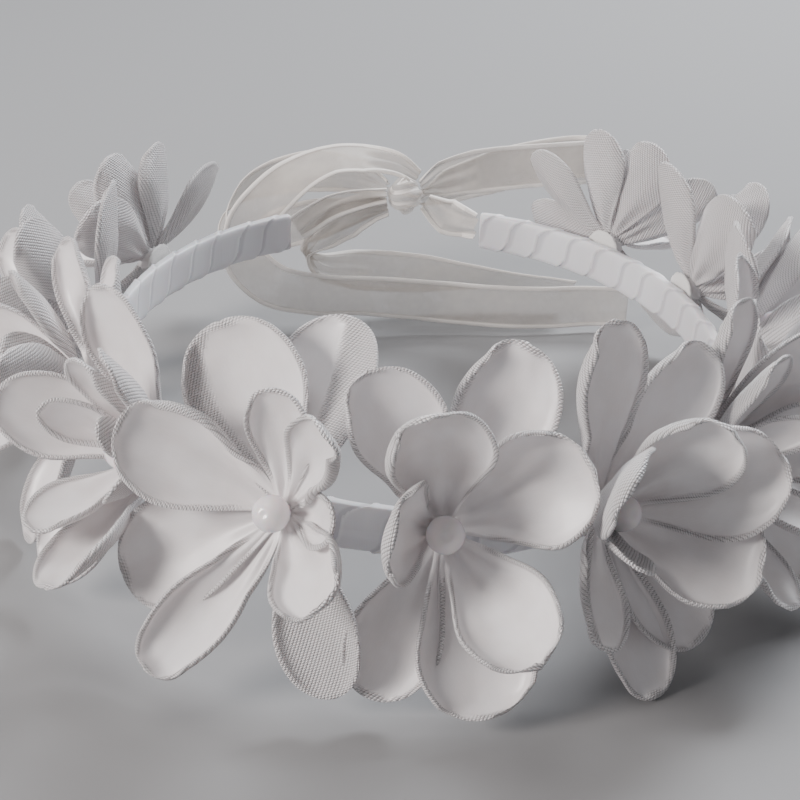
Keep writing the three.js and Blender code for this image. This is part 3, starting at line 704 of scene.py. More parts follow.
def petal_ring_tree():
    """A ring of petals round a gathered hub: one rounded shell for each point of the input."""
    graph = Graph(bpy.data.node_groups.new("petal_ring", "GeometryNodeTree"))
    given = graph.named_inputs(PETAL_INPUTS)
    shell = graph.add(
        "GeometryNodeMeshCube", None,
        {"Size": (2.0, 2.0, 1.0), "Vertices X": COLUMNS, "Vertices Y": ROWS, "Vertices Z": 2},
    )
    rings = graph.add(
        "GeometryNodeInstanceOnPoints", None, {"Points": given["Petals"], "Instance": shell}
    )
    rings = graph.add("GeometryNodeRealizeInstances", None, {"Geometry": rings})

    x, y, layer = graph.parts(graph.add("GeometryNodeInputPosition"))
    own = {name: graph.attribute(name) for name in (
        "turn", "open", "length", "width", "curl", "cup", "left", "right", "tip", "weave", "seed")}
    degree = math.pi / 180.0

    # A square of rows and columns, rounded at the tip so that its edge follows the rim.
    column = graph.sign(x) * (1.0 - (1.0 - graph.size(x)) ** RIM_CROWDING)
    upper = graph.most(y, 0.0)
    up = graph.least(y, 0.0) + upper * graph.root(1.0 - column * column * 0.5)
    share = (up + 1.0) * 0.5
    rounded = graph.root(graph.most(1.0 - graph.most(up, 0.0) ** 2.0, 0.00001))
    across = column * graph.root(1.0 - upper * upper * 0.5) / rounded
    across = graph.most(graph.least(across, 1.0), -1.0)

    length = given["Length"] * own["length"]
    broad, half = petal_outline(graph, given["Width"] * own["width"], share)
    from_middle = graph.size(across) * half
    to_rim = graph.least(half - from_middle, (1.0 - share) * length)

    # Across the petal: an arc that tightens into the rolled rim.
    side = graph.sign(across)
    roll = graph.either(across > 0.0, own["left"], own["right"]) * degree
    roll = roll * graph.ease(share, 0.12, 0.4) * (1.0 - graph.ease(share, 0.82, 1.0))
    cup = own["cup"] * (degree * 0.5)
    radius = broad / cup
    flat_part = graph.most(half - given["Roll Width"], half * 0.45)
    inside = graph.least(from_middle, flat_part)
    rolled = graph.most(from_middle - flat_part, 0.0)
    first = inside / radius
    rate = 1.0 / radius + roll / (half - flat_part + 0.0001)
    last = first + rate * rolled
    sideways = radius * graph.sine(first) + (graph.sine(last) - graph.sine(first)) / rate
    inward = (radius * (1.0 - graph.cosine(first))
              + (graph.cosine(first) - graph.cosine(last)) / rate)

    # Along the petal: a curl that tightens at the tip.
    curl = own["curl"] * degree + 0.001
    begin = own["open"] * degree + curl * 0.5
    out_low, ahead_low, middle = arc(graph, begin, curl, graph.least(share, ROLL_FROM))
    tip_rate = curl + own["tip"] * (degree / (1.0 - ROLL_FROM))
    out_high, ahead_high, lean = arc(graph, middle, tip_rate, graph.most(share - ROLL_FROM, 0.0))
    outward = given["Start"] + length * (out_low + out_high)
    ahead = given["Base"] + length * (ahead_low + ahead_high)

    # Gathers at the root, a soft wave towards the rim, and two layers with a rolled rim.
    seed = own["seed"] + given["Seed"]
    slow = graph.noise(graph.vector(across * 0.7, share * 1.3, seed), 1.0, 1.0)
    quick = graph.noise(graph.vector(across * 1.9, share * 3.4, seed + 9.0), 1.0, 2.0)
    wave = ((slow - 0.5) * 1.6 + (quick - 0.5) * 0.35) * graph.ease(share, 0.1, 0.7)
    wave = wave * given["Wave"] * own["length"] * own["width"]
    gather = graph.cosine(across * 8.0 + seed * 3.0) * graph.ease(share, 0.02, 0.16)
    gather = gather * (1.0 - graph.ease(share, 0.18, 0.72)) * given["Crease"]
    seam = graph.bell((across - (graph.fraction(seed * 0.37) - 0.5) * 0.9) * 3.2)
    seam = seam * graph.ease(share, 0.15, 0.4) * (1.0 - graph.ease(share, 0.55, 0.95))
    bead = graph.bell((to_rim - given["Rim Width"] * 0.6) / (given["Rim Width"] * 0.5))
    close = graph.least(to_rim / (given["Rim Width"] * 0.6), 1.0)
    closing = graph.root(graph.most(1.0 - (1.0 - close) ** 2.0, 0.01))
    thickness = (given["Body"] + (given["Rim"] - given["Body"]) * bead) * closing
    raised = inward + wave + gather - seam * given["Crease"] * 0.5
    raised = raised + layer * thickness * graph.cosine(last)
    spread = side * (sideways - layer * thickness * graph.sine(last))

    turn = own["turn"] * degree
    reach = outward - raised * graph.cosine(lean)
    right = graph.sine(turn) * reach - graph.cosine(turn) * spread
    top = graph.cosine(turn) * reach + graph.sine(turn) * spread
    height = ahead + raised * graph.sine(lean)

    # The woven face shows behind, on rolled rims and on a part of the inside.
    back = layer < 0.0
    part = graph.either(
        own["weave"] > 0.0,
        graph.ease(across + (slow - 0.5) * 0.4, own["weave"] - 0.04, own["weave"] + 0.04),
        graph.ease((across + (slow - 0.5) * 0.4) * -1.0, own["weave"] * -1.0 - 0.04,
                   own["weave"] * -1.0 + 0.04),
    )
    chosen = graph.most(part * (graph.size(own["weave"]) > 0.001), own["weave"] > 1.5)
    turned = (1.0 - graph.ease(to_rim, given["Rim Width"] * 0.75, given["Rim Width"] * 1.15))
    woven = graph.most(graph.most(back, chosen), turned * graph.ease(share, 0.12, 0.25))
    cloth = graph.vector(side * from_middle * 1000.0, share * length * 1000.0, seed)
    rings = graph.stored(rings, "cloth", cloth, "FLOAT_VECTOR")
    rings = graph.stored(rings, "woven", woven)
    rings = graph.moved(rings, graph.vector(right, top, height))
    rings = graph.add("GeometryNodeFlipFaces", None, {"Mesh": rings})

    hub = graph.add("GeometryNodeMeshUVSphere", None, {"Segments": 28, "Rings": 14, "Radius": 1.0})
    hx, hy, hz = graph.parts(graph.add("GeometryNodeInputPosition"))
    tucks = 1.0 + graph.sine(graph.number("ARCTAN2", hy, hx) * 11.0) * 0.05
    hub = graph.moved(hub, graph.vector(
        hx * given["Hub Radius"] * tucks, hy * given["Hub Radius"] * tucks,
        given["Base"] + hz * given["Hub Height"] * 0.5))

    whole = graph.joined(rings, hub)
    px, py, pz = graph.parts(graph.add("GeometryNodeInputPosition"))
    placed = graph.sum_of(given["Seat"], graph.scaled(given["Right"], px),
                          graph.scaled(given["Top"], py), graph.scaled(given["Axis"], pz))
    graph.finished(graph.moved(whole, placed), given["Material"])
    return graph.tree


def petal_points(petals, flower_number, ring_number):
    """One point for each petal, holding the numbers of its row and its own seed."""
    mesh = bpy.data.meshes.new("petal_points")
    mesh.from_pydata([(0.0, 0.0, 0.0)] * len(petals), [], [])
    columns = dict(zip(PETAL_FIELDS, zip(*petals)))
    first_seed = flower_number * SEED_STEPS[0] + ring_number * SEED_STEPS[1]
    columns["seed"] = [first_seed + index * SEED_STEPS[2] for index in range(len(petals))]
    for key, numbers in columns.items():
        layer = mesh.attributes.new(key, "FLOAT", "POINT")
        layer.data.foreach_set("value", [float(number) for number in numbers])
    return mesh


def flower_frame(name):
    """A flower's seat on its backing, and its right, top and axis directions."""
    back_low, back_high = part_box(name + "_backing")
    bead_low, bead_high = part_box(name + "_pearl")
    backing = (back_low + back_high) / 2
    bead = (bead_low + bead_high) / 2
    flat = Vector((bead.x - backing.x, bead.y - backing.y, 0.0)).normalized()
    seat = backing + flat * (BACKING_THICKNESS / 2)
    axis = (bead - seat).normalized()
    right = Vector((0.0, 0.0, 1.0)).cross(flat).normalized()
    top = axis.cross(right)
    return seat, right, top, axis, bead, flat


def make_petals(settings):
    tree = petal_ring_tree()
    materials = {
        "outer": satin_material("outer_satin", (*settings.outer_colour, 1.0),
                                (*settings.shade_colour, 1.0)),
        "inner": satin_material("inner_satin", (*settings.inner_colour, 1.0),
                                (*settings.shade_colour, 1.0), 0.8),
    }
    rings = {
        "outer": dict(start=OUTER_START, base=OUTER_BASE, hub=OUTER_HUB_RADIUS),
        "inner": dict(start=INNER_START, base=INNER_BASE, hub=INNER_HUB_RADIUS),
    }
    for number, kind in enumerate(FLOWERS, 1):
        flower = f"flower_{number:02d}"
        seat, right, top, axis, _, _ = flower_frame(flower)
        for ring_number, (ring, place) in enumerate(rings.items()):
            node = f"{flower}_{ring}_petals"
            points = petal_points(FLOWER_KINDS[kind][ring], number, ring_number)
            piece = baked(f"{flower}_{ring}_satin", points, tree, {
                "Length": settings.length, "Width": settings.width, "Body": settings.body,
                "Rim": settings.rim, "Rim Width": settings.rim_width,
                "Roll Width": settings.roll_width, "Wave": settings.wave,
                "Crease": settings.crease, "Start": place["start"], "Base": place["base"],
                "Hub Radius": place["hub"], "Hub Height": HUB_HEIGHT, "Seed": float(settings.seed),
                "Seat": seat, "Right": right, "Top": top, "Axis": axis,
                "Material": materials[ring],
            })
            hand_over(piece, node)


# ---------------------------------------------------------------- pearls and backings
def ball(radius, segments, rings):
    """Points and faces of a closed ball."""
    points = [Vector((0.0, 0.0, radius))]
    for ring in range(1, rings):
        fall = math.pi * ring / rings
        for step in range(segments):
            turn = math.tau * step / segments
            points.append(Vector((
                radius * math.sin(fall) * math.cos(turn),
                radius * math.sin(fall) * math.sin(turn),
                radius * math.cos(fall),
            )))
    points.append(Vector((0.0, 0.0, -radius)))
    faces = [(0, 1 + step, 1 + (step + 1) % segments) for step in range(segments)]
    for ring in range(rings - 2):
        first = 1 + ring * segments
        for step in range(segments):
            ahead = (step + 1) % segments
            faces.append((first + step, first + segments + step,
                          first + segments + ahead, first + ahead))
    last = 1 + (rings - 2) * segments
    end = len(points) - 1
    faces += [(end, last + (step + 1) % segments, last + step) for step in range(segments)]
    return points, faces


def make_pearls(settings):
    """Slightly uneven beads, dimpled where the thread goes through."""
    material = pearl_material((*settings.colour, 1.0))
    segments, rings = 48, 32
    for number in range(1, len(FLOWERS) + 1):
        flower = f"flower_{number:02d}"
        _, right, top, axis, bead, _ = flower_frame(flower)
        points, faces = ball(settings.diameter / 2, segments, rings)
        rng = np.random.default_rng(settings.seed + number)
        waves = rng.normal(size=(5, 3)) * 2.2
        phases = rng.uniform(0.0, math.tau, 5)
        placed = []
        for point in points:
            unit = point.normalized()
            swell = sum(math.sin(waves[k] @ np.array(unit) + phases[k]) for k in range(5)) / 5
            dimple = math.exp(-((1.0 - unit.z) / 0.02) ** 2) * settings.dimple
            grown = point * (1.0 + swell * settings.unevenness) - unit * dimple
            placed.append(bead + right * grown.x + top * grown.y + axis * grown.z)
        piece = mesh_piece(f"{flower}_bead", placed, faces, material)
        hand_over(piece, f"{flower}_pearl")


def make_backings(settings):
    """Felt discs with rounded, slightly ragged rims."""
    material = felt_material((*settings.colour, 1.0))
    steps = 40
    for number in range(1, len(FLOWERS) + 1):
        flower = f"flower_{number:02d}"
        low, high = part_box(flower + "_backing")
        centre = (low + high) / 2
        _, right, _, _, _, flat = flower_frame(flower)
        up = Vector((0.0, 0.0, 1.0))
        radius = (high.z - low.z) / 2
        rng = np.random.default_rng(settings.seed + number)
        ragged = 1.0 + rng.uniform(-0.02, 0.02, steps)
        half = BACKING_THICKNESS / 2
        profile = [(0.45, half), (0.88, half * 0.96), (0.98, half * 0.5), (1.0, 0.0),
                   (0.98, -half * 0.5), (0.88, -half * 0.96), (0.45, -half)]
        points = [centre + flat * half]
        for share, rise in profile:
            for step in range(steps):
                turn = math.tau * step / steps
                reach = radius * share * (ragged[step] if share > 0.9 else 1.0) * 0.985
                points.append(centre + flat * rise + right * (reach * math.cos(turn))
                              + up * (reach * math.sin(turn)))
        points.append(centre - flat * half)
        faces = [(0, 1 + s, 1 + (s + 1) % steps) for s in range(steps)]
        for ring in range(len(profile) - 1):
            first = 1 + ring * steps
            for s in range(steps):
                ahead = (s + 1) % steps
                faces.append((first + s, first + steps + s, first + steps + ahead, first + ahead))
        last = 1 + (len(profile) - 1) * steps
        faces += [(len(points) - 1, last + (s + 1) % steps, last + s) for s in range(steps)]
        piece = mesh_piece(f"{flower}_felt", points, faces, material)
        hand_over(piece, f"{flower}_backing")


# ---------------------------------------------------------------- wound band
BAND_INPUTS = [
    ("Grid", "Geometry"), ("Half Width", "Float"), ("Half Depth", "Float"), ("Left End", "Float"),
    ("Right End", "Float"), ("Thickness", "Float"), ("Height", "Float"), ("Slot", "Float"),
    ("Slot Height", "Float"), ("Turns", "Float"), ("Starts", "Float"), ("Overlap", "Float"),
    ("Centre", "Vector"), ("Material", "Material"),
]
BAND_ROWS = 1200
SLOT_ROWS = 160
BAND_COLUMNS = 44
SECTION_POWER = 0.42     # how square the band's section is: 1 is an oval
SECTION_AROUND = 27.0    # millimetres of cloth once round the section
BAND_LENGTH = 465.0      # millimetres of cloth along the band
SLOT_HALF = 0.85 * MM
SLOT_HALF_HEIGHT = 5.05 * MM


def wound_band_tree():
    """A sleeve round the hoop whose outside steps down from each overlapping turn of ribbon."""
    graph = Graph(bpy.data.node_groups.new("wound_band", "GeometryNodeTree"))
    given = graph.named_inputs(BAND_INPUTS)
    rows = BAND_ROWS + SLOT_ROWS
    sleeve = graph.add("GeometryNodeMeshGrid", None, {
        "Size X": 1.0, "Size Y": 1.0, "Vertices X": rows + 1, "Vertices Y": BAND_COLUMNS + 1})
    x, y, _ = graph.parts(graph.add("GeometryNodeInputPosition"))
    row = graph.number("ROUND", (x + 0.5) * rows)
    row = row * (row < rows - 0.5)
    inner = row > BAND_ROWS + 0.5
    out_share = row / BAND_ROWS
    back_share = 1.0 - (row - (BAND_ROWS + 1.0)) / (SLOT_ROWS - 2.0)
    share = graph.either(inner, back_share, out_share)
    degrees = given["Left End"] + (given["Right End"] - given["Left End"]) * share
    angle = degrees * (math.pi / 180.0)
    sine, cosine = graph.sine(angle), graph.cosine(angle)

    turn = graph.fraction(y + 0.5) * math.tau
    turn_cos, turn_sin = graph.cosine(turn), graph.sine(turn)
    square_x = graph.sign(turn_cos) * graph.size(turn_cos) ** SECTION_POWER
    square_z = graph.sign(turn_sin) * graph.size(turn_sin) ** SECTION_POWER

    drift = graph.noise(graph.vector(share * 40.0, 3.1, 0.0), 1.0, 1.0) - 0.5
    wound = share * given["Turns"] - graph.fraction(y + 0.5) * given["Starts"] + drift * 0.5
    fold = graph.fraction(wound)
    edge_thread = graph.bell((fold - 0.035) * 28.0)
    sag = graph.sine(fold * math.pi)
    step = given["Overlap"] * (1.0 - fold + edge_thread * 0.35 - sag * 0.12) * (1.0 - inner)
    ease_out = graph.ease(share, 0.0, 0.003) * (1.0 - graph.ease(share, 0.997, 1.0))
    step = step * ease_out
    half_thick = graph.either(inner, given["Slot"], given["Thickness"]) + step
    half_tall = graph.either(inner, given["Slot Height"], given["Height"]) + step

    normal_x, normal_y = sine / given["Half Width"], cosine / given["Half Depth"] * -1.0
    size = graph.root(normal_x * normal_x + normal_y * normal_y)
    off = square_x * half_thick / size
    place = graph.vector(
        given["Half Width"] * sine + normal_x * off,
        given["Half Depth"] * cosine * -1.0 + normal_y * off,
        square_z * half_tall,
    )
    sleeve = graph.stored(sleeve, "fold", fold)
    sleeve = graph.stored(sleeve, "cloth", graph.vector(
        graph.fraction(y + 0.5) * SECTION_AROUND, share * BAND_LENGTH, 1.7), "FLOAT_VECTOR")
    sleeve = graph.moved(sleeve, graph.sum_of(place, given["Centre"]))
    sleeve = graph.add("GeometryNodeMergeByDistance", None, {"Geometry": sleeve, "Distance": 1e-7})
    graph.finished(sleeve, given["Material"])
    return graph.tree


def make_band(settings):
    """The wound satin sleeve, and the finish of the strip inside it."""
    material = band_material((*settings.colour, 1.0), (*settings.shade_colour, 1.0))
    empty = bpy.data.meshes.new("band_start")
    piece = baked("band_winding", empty, wound_band_tree(), {
        "Half Width": HOOP_HALF_WIDTH, "Half Depth": HOOP_HALF_DEPTH, "Left End": HOOP_LEFT_END,
        "Right End": HOOP_RIGHT_END, "Thickness": settings.thickness, "Height": settings.height,
        "Slot": SLOT_HALF, "Slot Height": SLOT_HALF_HEIGHT, "Turns": settings.turns,
        "Starts": float(settings.starts),
        "Overlap": settings.overlap, "Centre": HOOP_CENTRE, "Material": material,
    })
    hand_over(piece, "band_wrap")
    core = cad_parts["band_core"]
    core.data.materials.clear()
    core.data.materials.append(strip_material((*settings.core_colour, 1.0)))


# ---------------------------------------------------------------- sheer ribbon
def tie_place(x, y, z):
    return np.array([
        HOOP_CENTRE.x + x / 100.0 * HOOP_HALF_WIDTH,
        HOOP_CENTRE.y + y / 100.0 * HOOP_HALF_DEPTH,
        HOOP_CENTRE.z + z * MM,
    ])


def along_route(points, share):
    """A point of the smooth curve through the route, spaced as the frame's ribbons are."""
    reach = share * (len(points) - 1)
    index = int(min(math.floor(reach), len(points) - 2))
    part = reach - index
    here, there = points[index], points[index + 1]
    before = points[index - 1] if index > 0 else 2 * here - there
    after = points[index + 2] if index + 2 < len(points) else 2 * there - here
    gap_a = math.sqrt(np.linalg.norm(here - before))
    gap_b = math.sqrt(np.linalg.norm(there - here))
    gap_c = math.sqrt(np.linalg.norm(after - there))
    leave = ((here - before) / gap_a - (there - before) / (gap_a + gap_b)
             + (there - here) / gap_b) * gap_b
    arrive = ((there - here) / gap_b - (after - here) / (gap_b + gap_c)
              + (after - there) / gap_c) * gap_b
    return (here + leave * part + (-3 * here + 3 * there - 2 * leave - arrive) * part ** 2
            + (2 * here - 2 * there + leave + arrive) * part ** 3)


def ribbon_steps(strand, steps):
    """Centre, direction, face and spread of the ribbon at each step of its route."""
    route = strand["points"]
    points = [tie_place(x, y, z) for x, y, z, _, _ in route]
    centre = np.array([HOOP_CENTRE.x, HOOP_CENTRE.y, 0.0])
    found = []
    side = None
    small = 1e-4
    for step in range(steps + 1):
        share = step / steps
        here = along_route(points, share)
        ahead = along_route(points, min(share + small, 1.0))
        along = ahead - along_route(points, max(share - small, 0.0))
        along /= np.linalg.norm(along)
        if side is None or not strand.get("carried"):
            side = (here - centre) * np.array([1.0, 1.0, 0.0])
        side = side - along * (side @ along)
        side /= np.linalg.norm(side)
        reach = share * (len(route) - 1)
        index = int(min(math.floor(reach), len(route) - 2))
        part = reach - index
        lean, spread = (
            route[index][column] * (1 - part) + route[index + 1][column] * part
            for column in (3, 4)
        )
        turn = math.radians(lean)
        face = side * math.cos(turn) + np.cross(along, side) * math.sin(turn)
        found.append((here, along, face, spread))
    return found


def ribbon_piece(name, strand, settings, material, seed):
    """A closed thin strip of ribbon: gathered into folds where it isn't spread, with waves."""
    steps, columns = 220, 36
    width = settings.width
    folds = strand.get("folds", 3)
    rng = np.random.default_rng(seed)
    phase = rng.uniform(0.0, math.tau)
    sway = rng.uniform(0.0, math.tau, 3)
    layers, cloths, edges = [[], []], [], []
    run = 0.0
    last = None
    for step, (here, along, face, spread) in enumerate(ribbon_steps(strand, steps)):
        run += 0.0 if last is None else float(np.linalg.norm(here - last))
        last = here
        share = step / steps
        across_way = np.cross(along, face)
        slack = max(1.0 / spread ** 2 - 1.0, 0.0)
        pleat = math.pi / 2 * math.sqrt(slack) * spread * width / (math.tau * folds)
        taper = math.sin(math.pi * min(max(share, 0.02), 0.98)) ** 0.3
        for column in range(columns + 1):
            v = column / columns - 0.5
            wander = 0.35 * math.sin(share * 5.0 + sway[2])
            fold = pleat * math.sin(math.tau * folds * v + phase + wander)
            ripple = settings.ripple * taper * (
                math.sin(run * 150.0 + sway[0] + v * 2.0) * 0.6
                + math.sin(run * 330.0 + sway[1] - v * 3.0) * 0.4 * abs(v) * 2.0)
            point = here + across_way * (v * width * spread) + face * (fold + ripple)
            from_edge = (0.5 - abs(v)) * width
            thick = settings.body + (settings.edge - settings.body) * math.exp(
                -((from_edge - settings.selvedge * 0.5) / (settings.selvedge * 0.5)) ** 2)
            normal_tilt = -pleat * math.tau * folds / (width * spread) * math.cos(
                math.tau * folds * v + phase + wander)
            normal = face + across_way * normal_tilt
            normal /= np.linalg.norm(normal)
            layers[0].append(point + normal * thick / 2)
            layers[1].append(point - normal * thick / 2)
            cloths.append((v * width * 1000.0, run * 1000.0, seed * 1.3))
            edges.append(from_edge * 1000.0)
    points = layers[0] + layers[1]
    row = columns + 1
    offset = row * (steps + 1)
    faces = []
    for step in range(steps):
        for column in range(columns):
            a = step * row + column
            faces.append((a, a + 1, a + row + 1, a + row))
            faces.append((offset + a, offset + a + row, offset + a + row + 1, offset + a + 1))
    for step in range(steps):
        left, right = step * row, step * row + columns
        faces.append((left, left + row, offset + left + row, offset + left))
        faces.append((right, offset + right, offset + right + row, right + row))
    end = steps * row
    for column in range(columns):
        faces.append((column, offset + column, offset + column + 1, column + 1))
        faces.append((end + column, end + column + 1, offset + end + column + 1,
                      offset + end + column))
    return mesh_piece(name, points, faces, material,
                      {"cloth": cloths + cloths, "edge": edges + edges}), run


def knot_piece(settings, material):
    """The knot: ribbon drawn tight round itself, in ridges that run over it."""
    low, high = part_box("tie_knot")
    centre, half = (low + high) / 2, (high - low) / 2
    points, faces = ball(1.0, 72, 48)
    placed, cloths, edges = [], [], []
    for unit in points:
        turn = math.atan2(unit.y, unit.x)
        rise = math.asin(max(-1.0, min(1.0, unit.z)))
        ridge = 0.5 + 0.5 * math.sin(rise * 9.0 + math.sin(turn * 2.0) * 1.3)
        pinch = 1.0 - 0.10 * math.cos(turn * 2.0)
        grown = (0.90 + 0.16 * ridge) * pinch
        placed.append(centre + Vector((
            unit.x * half.x * 1.3, unit.y * half.y * 1.15, unit.z * half.z * 1.05)) * grown)
        cloths.append((rise * 6.0, turn * 6.0, 4.2))
        edges.append(0.5 + 3.0 * ridge)
    return mesh_piece("ribbon_knot", placed, faces, material, {"cloth": cloths, "edge": edges})


def make_tie(settings):
    material = organza_material((*settings.colour, 1.0), settings.sheer, settings.selvedge / MM)
    for number, (node, strand) in enumerate(STRANDS.items()):
        name = node.replace("tie_", "ribbon_")
        piece, run = ribbon_piece(name, strand, settings, material, number + 1)
        hand_over(piece, node)
    hand_over(knot_piece(settings, material), "tie_knot")


# ---------------------------------------------------------------- stage
CAMERA_PLACE = (-42.114, -396.494, 188.414)      # millimetres from the hoop's centre
CAMERA_RIGHT = (0.99616, -0.08185, 0.03094)
CAMERA_UP = (0.00975, 0.45520, 0.89034)
CAMERA_BACK = (-0.08696, -0.88662, 0.45425)


def make_stage(settings):
    """Pale floor with a curved backdrop, soft lights and the camera."""
    scene = bpy.context.scene
    data = bpy.data.cameras.new("camera")
    data.sensor_width = 36.0
    data.lens = settings.lens
    data.clip_start, data.clip_end = 0.01, 20.0
    camera = bpy.data.objects.new("camera", data)
    scene.collection.objects.link(camera)
    turned = Matrix((CAMERA_RIGHT, CAMERA_UP, CAMERA_BACK)).transposed().to_4x4()
    turned.translation = HOOP_CENTRE + Vector(CAMERA_PLACE) * MM
    camera.matrix_world = turned
    scene.camera = camera

    half, back, bend, tall = 3.0, 1.6, 0.5, 2.5
    profile = [(-3.0, 0.0), (back - bend, 0.0)]
    for step in range(1, 13):
        turn = math.pi / 2 * step / 12
        profile.append((back - bend + bend * math.sin(turn), bend - bend * math.cos(turn)))
    profile.append((back, tall))
    points = [(x, y, z) for y, z in profile for x in (-half, half)]
    faces = [(2 * i, 2 * i + 1, 2 * i + 3, 2 * i + 2) for i in range(len(profile) - 1)]
    material, graph, shader = new_material("backdrop")
    place = graph.add("ShaderNodeTexCoord", None, None, 3)
    mottled = graph.noise(place, 3.0, 2.0)
    wire(graph, shader, roughness=0.8 + mottled * 0.1)
    shader.inputs["Base Color"].default_value = (*settings.floor_colour, 1.0)
    shader.inputs["Specular IOR Level"].default_value = 0.2
    backdrop = mesh_piece("backdrop", points, faces, material)

    lights = [
        ("window", (0.60, 0.70, 0.85), 0.5, settings.key_power, (0.93, 0.96, 1.0)),
        ("front_fill", (-0.95, -0.45, 0.50), 0.4, settings.fill_power, (1.0, 0.94, 0.91)),
        ("overhead", (-0.35, 0.15, 1.2), 0.9, settings.top_power, (1.0, 0.98, 0.97)),
    ]
    for name, place, size, power, colour in lights:
        light = bpy.data.lights.new(name, "AREA")
        light.shape = "DISK"
        light.size = size
        light.energy = power
        light.color = colour
        lamp = bpy.data.objects.new(name, light)
        lamp.location = place
        lamp.rotation_euler = (HOOP_CENTRE - Vector(place)).to_track_quat("-Z", "Y").to_euler()
        scene.collection.objects.link(lamp)
    world = bpy.data.worlds.new("studio")
    world.use_nodes = True
    background = world.node_tree.nodes["Background"]
    background.inputs["Color"].default_value = (0.93, 0.93, 0.96, 1.0)
    background.inputs["Strength"].default_value = settings.room_light
    scene.world = world


# ---------------------------------------------------------------- settings
def length_property(name, description, default):
    return bpy.props.FloatProperty(
        name=name, description=description, default=default, unit="LENGTH", precision=5, min=0.0)


def colour_property(name, description, default):
    return bpy.props.FloatVectorProperty(
        name=name, description=description, default=default, subtype="COLOR", size=3,
        min=0.0, max=1.0)


class PetalSettings(bpy.types.PropertyGroup):
    length: length_property("Length", "Length of a full petal", 38 * MM)
    width: length_property("Width", "Width of a full petal", 25 * MM)
    body: length_property("Body thickness", "Thickness of the two satin layers", 0.55 * MM)
    rim: length_property("Rim thickness", "Thickness of the turned rim", 1.15 * MM)
    rim_width: length_property("Rim width", "Width of the turned rim", 1.3 * MM)
    roll_width: length_property("Roll width", "Width of the part that rolls inwards", 4.2 * MM)
    wave: length_property("Wave", "Height of the waves in a petal", 2.2 * MM)
    crease: length_property("Crease", "Depth of the gathers at the root", 0.55 * MM)
    seed: bpy.props.IntProperty(name="Seed", description="Seed of the waves", default=3)
    outer_colour: colour_property("Outer satin", "Colour of the outer petals", (0.87, 0.835, 0.845))
    inner_colour: colour_property("Inner satin", "Colour of the inner petals", (0.89, 0.86, 0.87))
    shade_colour: colour_property(
        "Satin shade", "Colour of the darker patches", (0.81, 0.765, 0.765))


class PearlSettings(bpy.types.PropertyGroup):
    diameter: length_property("Diameter", "Diameter of a bead", 8 * MM)
    dimple: length_property("Dimple", "Depth of the dimple at the thread hole", 0.25 * MM)
    unevenness: bpy.props.FloatProperty(
        name="Unevenness", description="Share by which a bead swells", default=0.022)
    seed: bpy.props.IntProperty(name="Seed", description="Seed of the beads' shapes", default=11)
    colour: colour_property("Pearl", "Colour of the beads", (0.80, 0.77, 0.775))


class BackingSettings(bpy.types.PropertyGroup):
    seed: bpy.props.IntProperty(name="Seed", description="Seed of the ragged rims", default=5)
    colour: colour_property("Felt", "Colour of the felt discs", (0.74, 0.73, 0.71))


class BandSettings(bpy.types.PropertyGroup):
    thickness: length_property("Half thickness", "Half thickness under the top layer", 1.35 * MM)
    height: length_property("Half height", "Half height under the top layer", 5.45 * MM)
    overlap: length_property("Overlap", "Height of the step at each overlap", 0.3 * MM)
    turns: bpy.props.FloatProperty(
        name="Turns", description="Overlaps along the band", default=45.0)
    starts: bpy.props.IntProperty(
        name="Starts", description="Ribbons wound side by side; the sign sets the slant", default=2)
    colour: colour_property("Band satin", "Colour of the wound satin", (0.82, 0.80, 0.83))
    shade_colour: colour_property("Band shade", "Colour of its darker patches", (0.74, 0.71, 0.74))
    core_colour: colour_property("Strip", "Colour of the strip inside", (0.84, 0.83, 0.80))


class TieSettings(bpy.types.PropertyGroup):
    width: length_property("Width", "Width of the sheer ribbon", 14 * MM)
    body: length_property("Body thickness", "Thickness of the sheer cloth", 0.10 * MM)
    edge: length_property("Edge thickness", "Thickness of the woven edges", 0.6 * MM)
    selvedge: length_property("Edge width", "Width of the woven edges", 1.5 * MM)
    ripple: length_property("Ripple", "Height of the ripples", 0.35 * MM)
    sheer: bpy.props.FloatProperty(
        name="Cover", description="How much the sheer cloth covers", default=0.40, min=0.0, max=1.0)
    colour: colour_property("Organza", "Colour of the sheer ribbon", (0.70, 0.65, 0.60))


class StageSettings(bpy.types.PropertyGroup):
    lens: bpy.props.FloatProperty(
        name="Lens", description="Focal length in millimetres", default=76.41)
    key_power: bpy.props.FloatProperty(
        name="Window", description="Power of the cool light behind", default=24.0, unit="POWER")
    fill_power: bpy.props.FloatProperty(
        name="Front fill", description="Power of the warm front light", default=15.0, unit="POWER")
    top_power: bpy.props.FloatProperty(
        name="Overhead", description="Power of the overhead light", default=5.0, unit="POWER")
    room_light: bpy.props.FloatProperty(
        name="Room light", description="Strength of the light all round", default=0.26)
    floor_colour: colour_property("Floor", "Colour of the floor", (0.30, 0.30, 0.305))


# ---------------------------------------------------------------- operators and panel
class BuildOperator:
    """Shared parts of the operators below."""

    bl_options = {"REGISTER", "UNDO"}


class CROWN_OT_stage(BuildOperator, bpy.types.Operator):
    """Make the floor, the lights and the camera"""

    bl_idname = "crown.stage"
    bl_label = "Stage"

    def execute(self, context):
        make_stage(context.scene.crown_stage)
        return {"FINISHED"}


class CROWN_OT_tie(BuildOperator, bpy.types.Operator):
    """Make the sheer ribbon's leads, loops, tails and knot"""

    bl_idname = "crown.tie"
    bl_label = "Ribbon tie"

    def execute(self, context):
        make_tie(context.scene.crown_tie)
        return {"FINISHED"}


class CROWN_OT_band(BuildOperator, bpy.types.Operator):
    """Make the wound band"""

    bl_idname = "crown.band"
    bl_label = "Band"

    def execute(self, context):
        make_band(context.scene.crown_band)
        return {"FINISHED"}


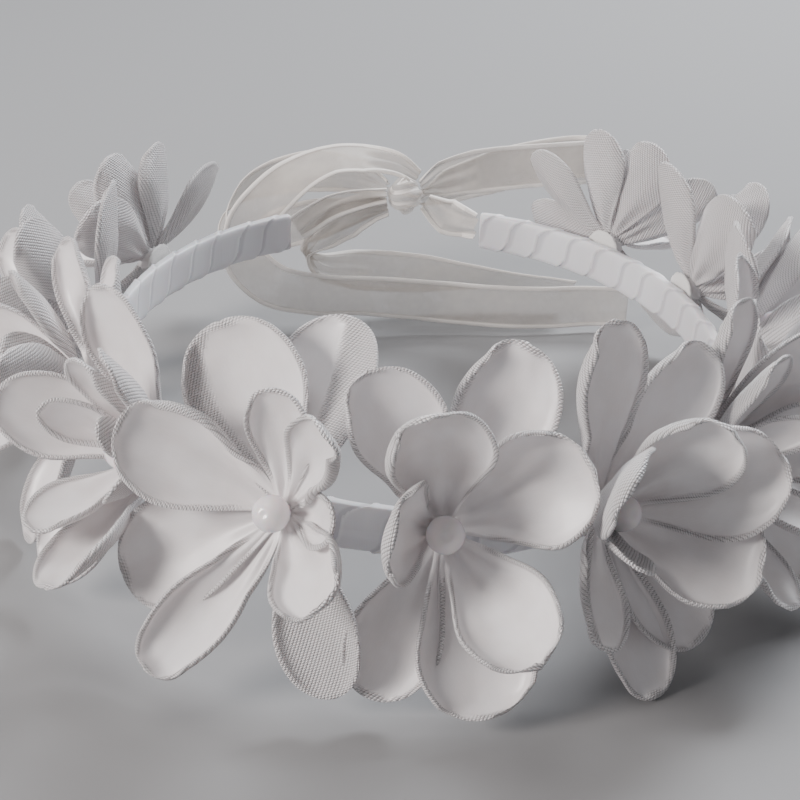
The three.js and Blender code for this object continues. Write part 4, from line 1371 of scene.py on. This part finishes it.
class CROWN_OT_backings(BuildOperator, bpy.types.Operator):
    """Make the felt discs under the flowers"""

    bl_idname = "crown.backings"
    bl_label = "Felt backings"

    def execute(self, context):
        make_backings(context.scene.crown_backing)
        return {"FINISHED"}


class CROWN_OT_petals(BuildOperator, bpy.types.Operator):
    """Make the outer and inner petals of every flower"""

    bl_idname = "crown.petals"
    bl_label = "Petals"

    def execute(self, context):
        make_petals(context.scene.crown_petal)
        return {"FINISHED"}


class CROWN_OT_pearls(BuildOperator, bpy.types.Operator):
    """Make the pearl at the centre of every flower"""

    bl_idname = "crown.pearls"
    bl_label = "Pearls"

    def execute(self, context):
        make_pearls(context.scene.crown_pearl)
        return {"FINISHED"}


class CROWN_PT_panel(bpy.types.Panel):
    """Lists the crown's operators"""

    bl_idname = "CROWN_PT_panel"
    bl_label = "Flower Crown"
    bl_space_type = "VIEW_3D"
    bl_region_type = "UI"
    bl_category = "Crown"

    def draw(self, context):
        for operator in OPERATORS:
            self.layout.operator(operator.bl_idname)


SETTINGS = {
    "crown_petal": PetalSettings, "crown_pearl": PearlSettings, "crown_backing": BackingSettings,
    "crown_band": BandSettings, "crown_tie": TieSettings, "crown_stage": StageSettings,
}
OPERATORS = [CROWN_OT_stage, CROWN_OT_tie, CROWN_OT_band, CROWN_OT_backings, CROWN_OT_petals,
             CROWN_OT_pearls]


def register():
    for name, group in SETTINGS.items():
        bpy.utils.register_class(group)
        setattr(bpy.types.Scene, name, bpy.props.PointerProperty(type=group))
    for item in [*OPERATORS, CROWN_PT_panel]:
        bpy.utils.register_class(item)


def unregister():
    for item in reversed([*OPERATORS, CROWN_PT_panel]):
        bpy.utils.unregister_class(item)
    for name, group in reversed(SETTINGS.items()):
        delattr(bpy.types.Scene, name)
        bpy.utils.unregister_class(group)


def main():
    register()
    bpy.ops.crown.stage()
    bpy.ops.crown.tie()
    bpy.ops.crown.band()
    bpy.ops.crown.backings()
    bpy.ops.crown.petals()
    bpy.ops.crown.pearls()


if __name__ == "__main__":
    main()
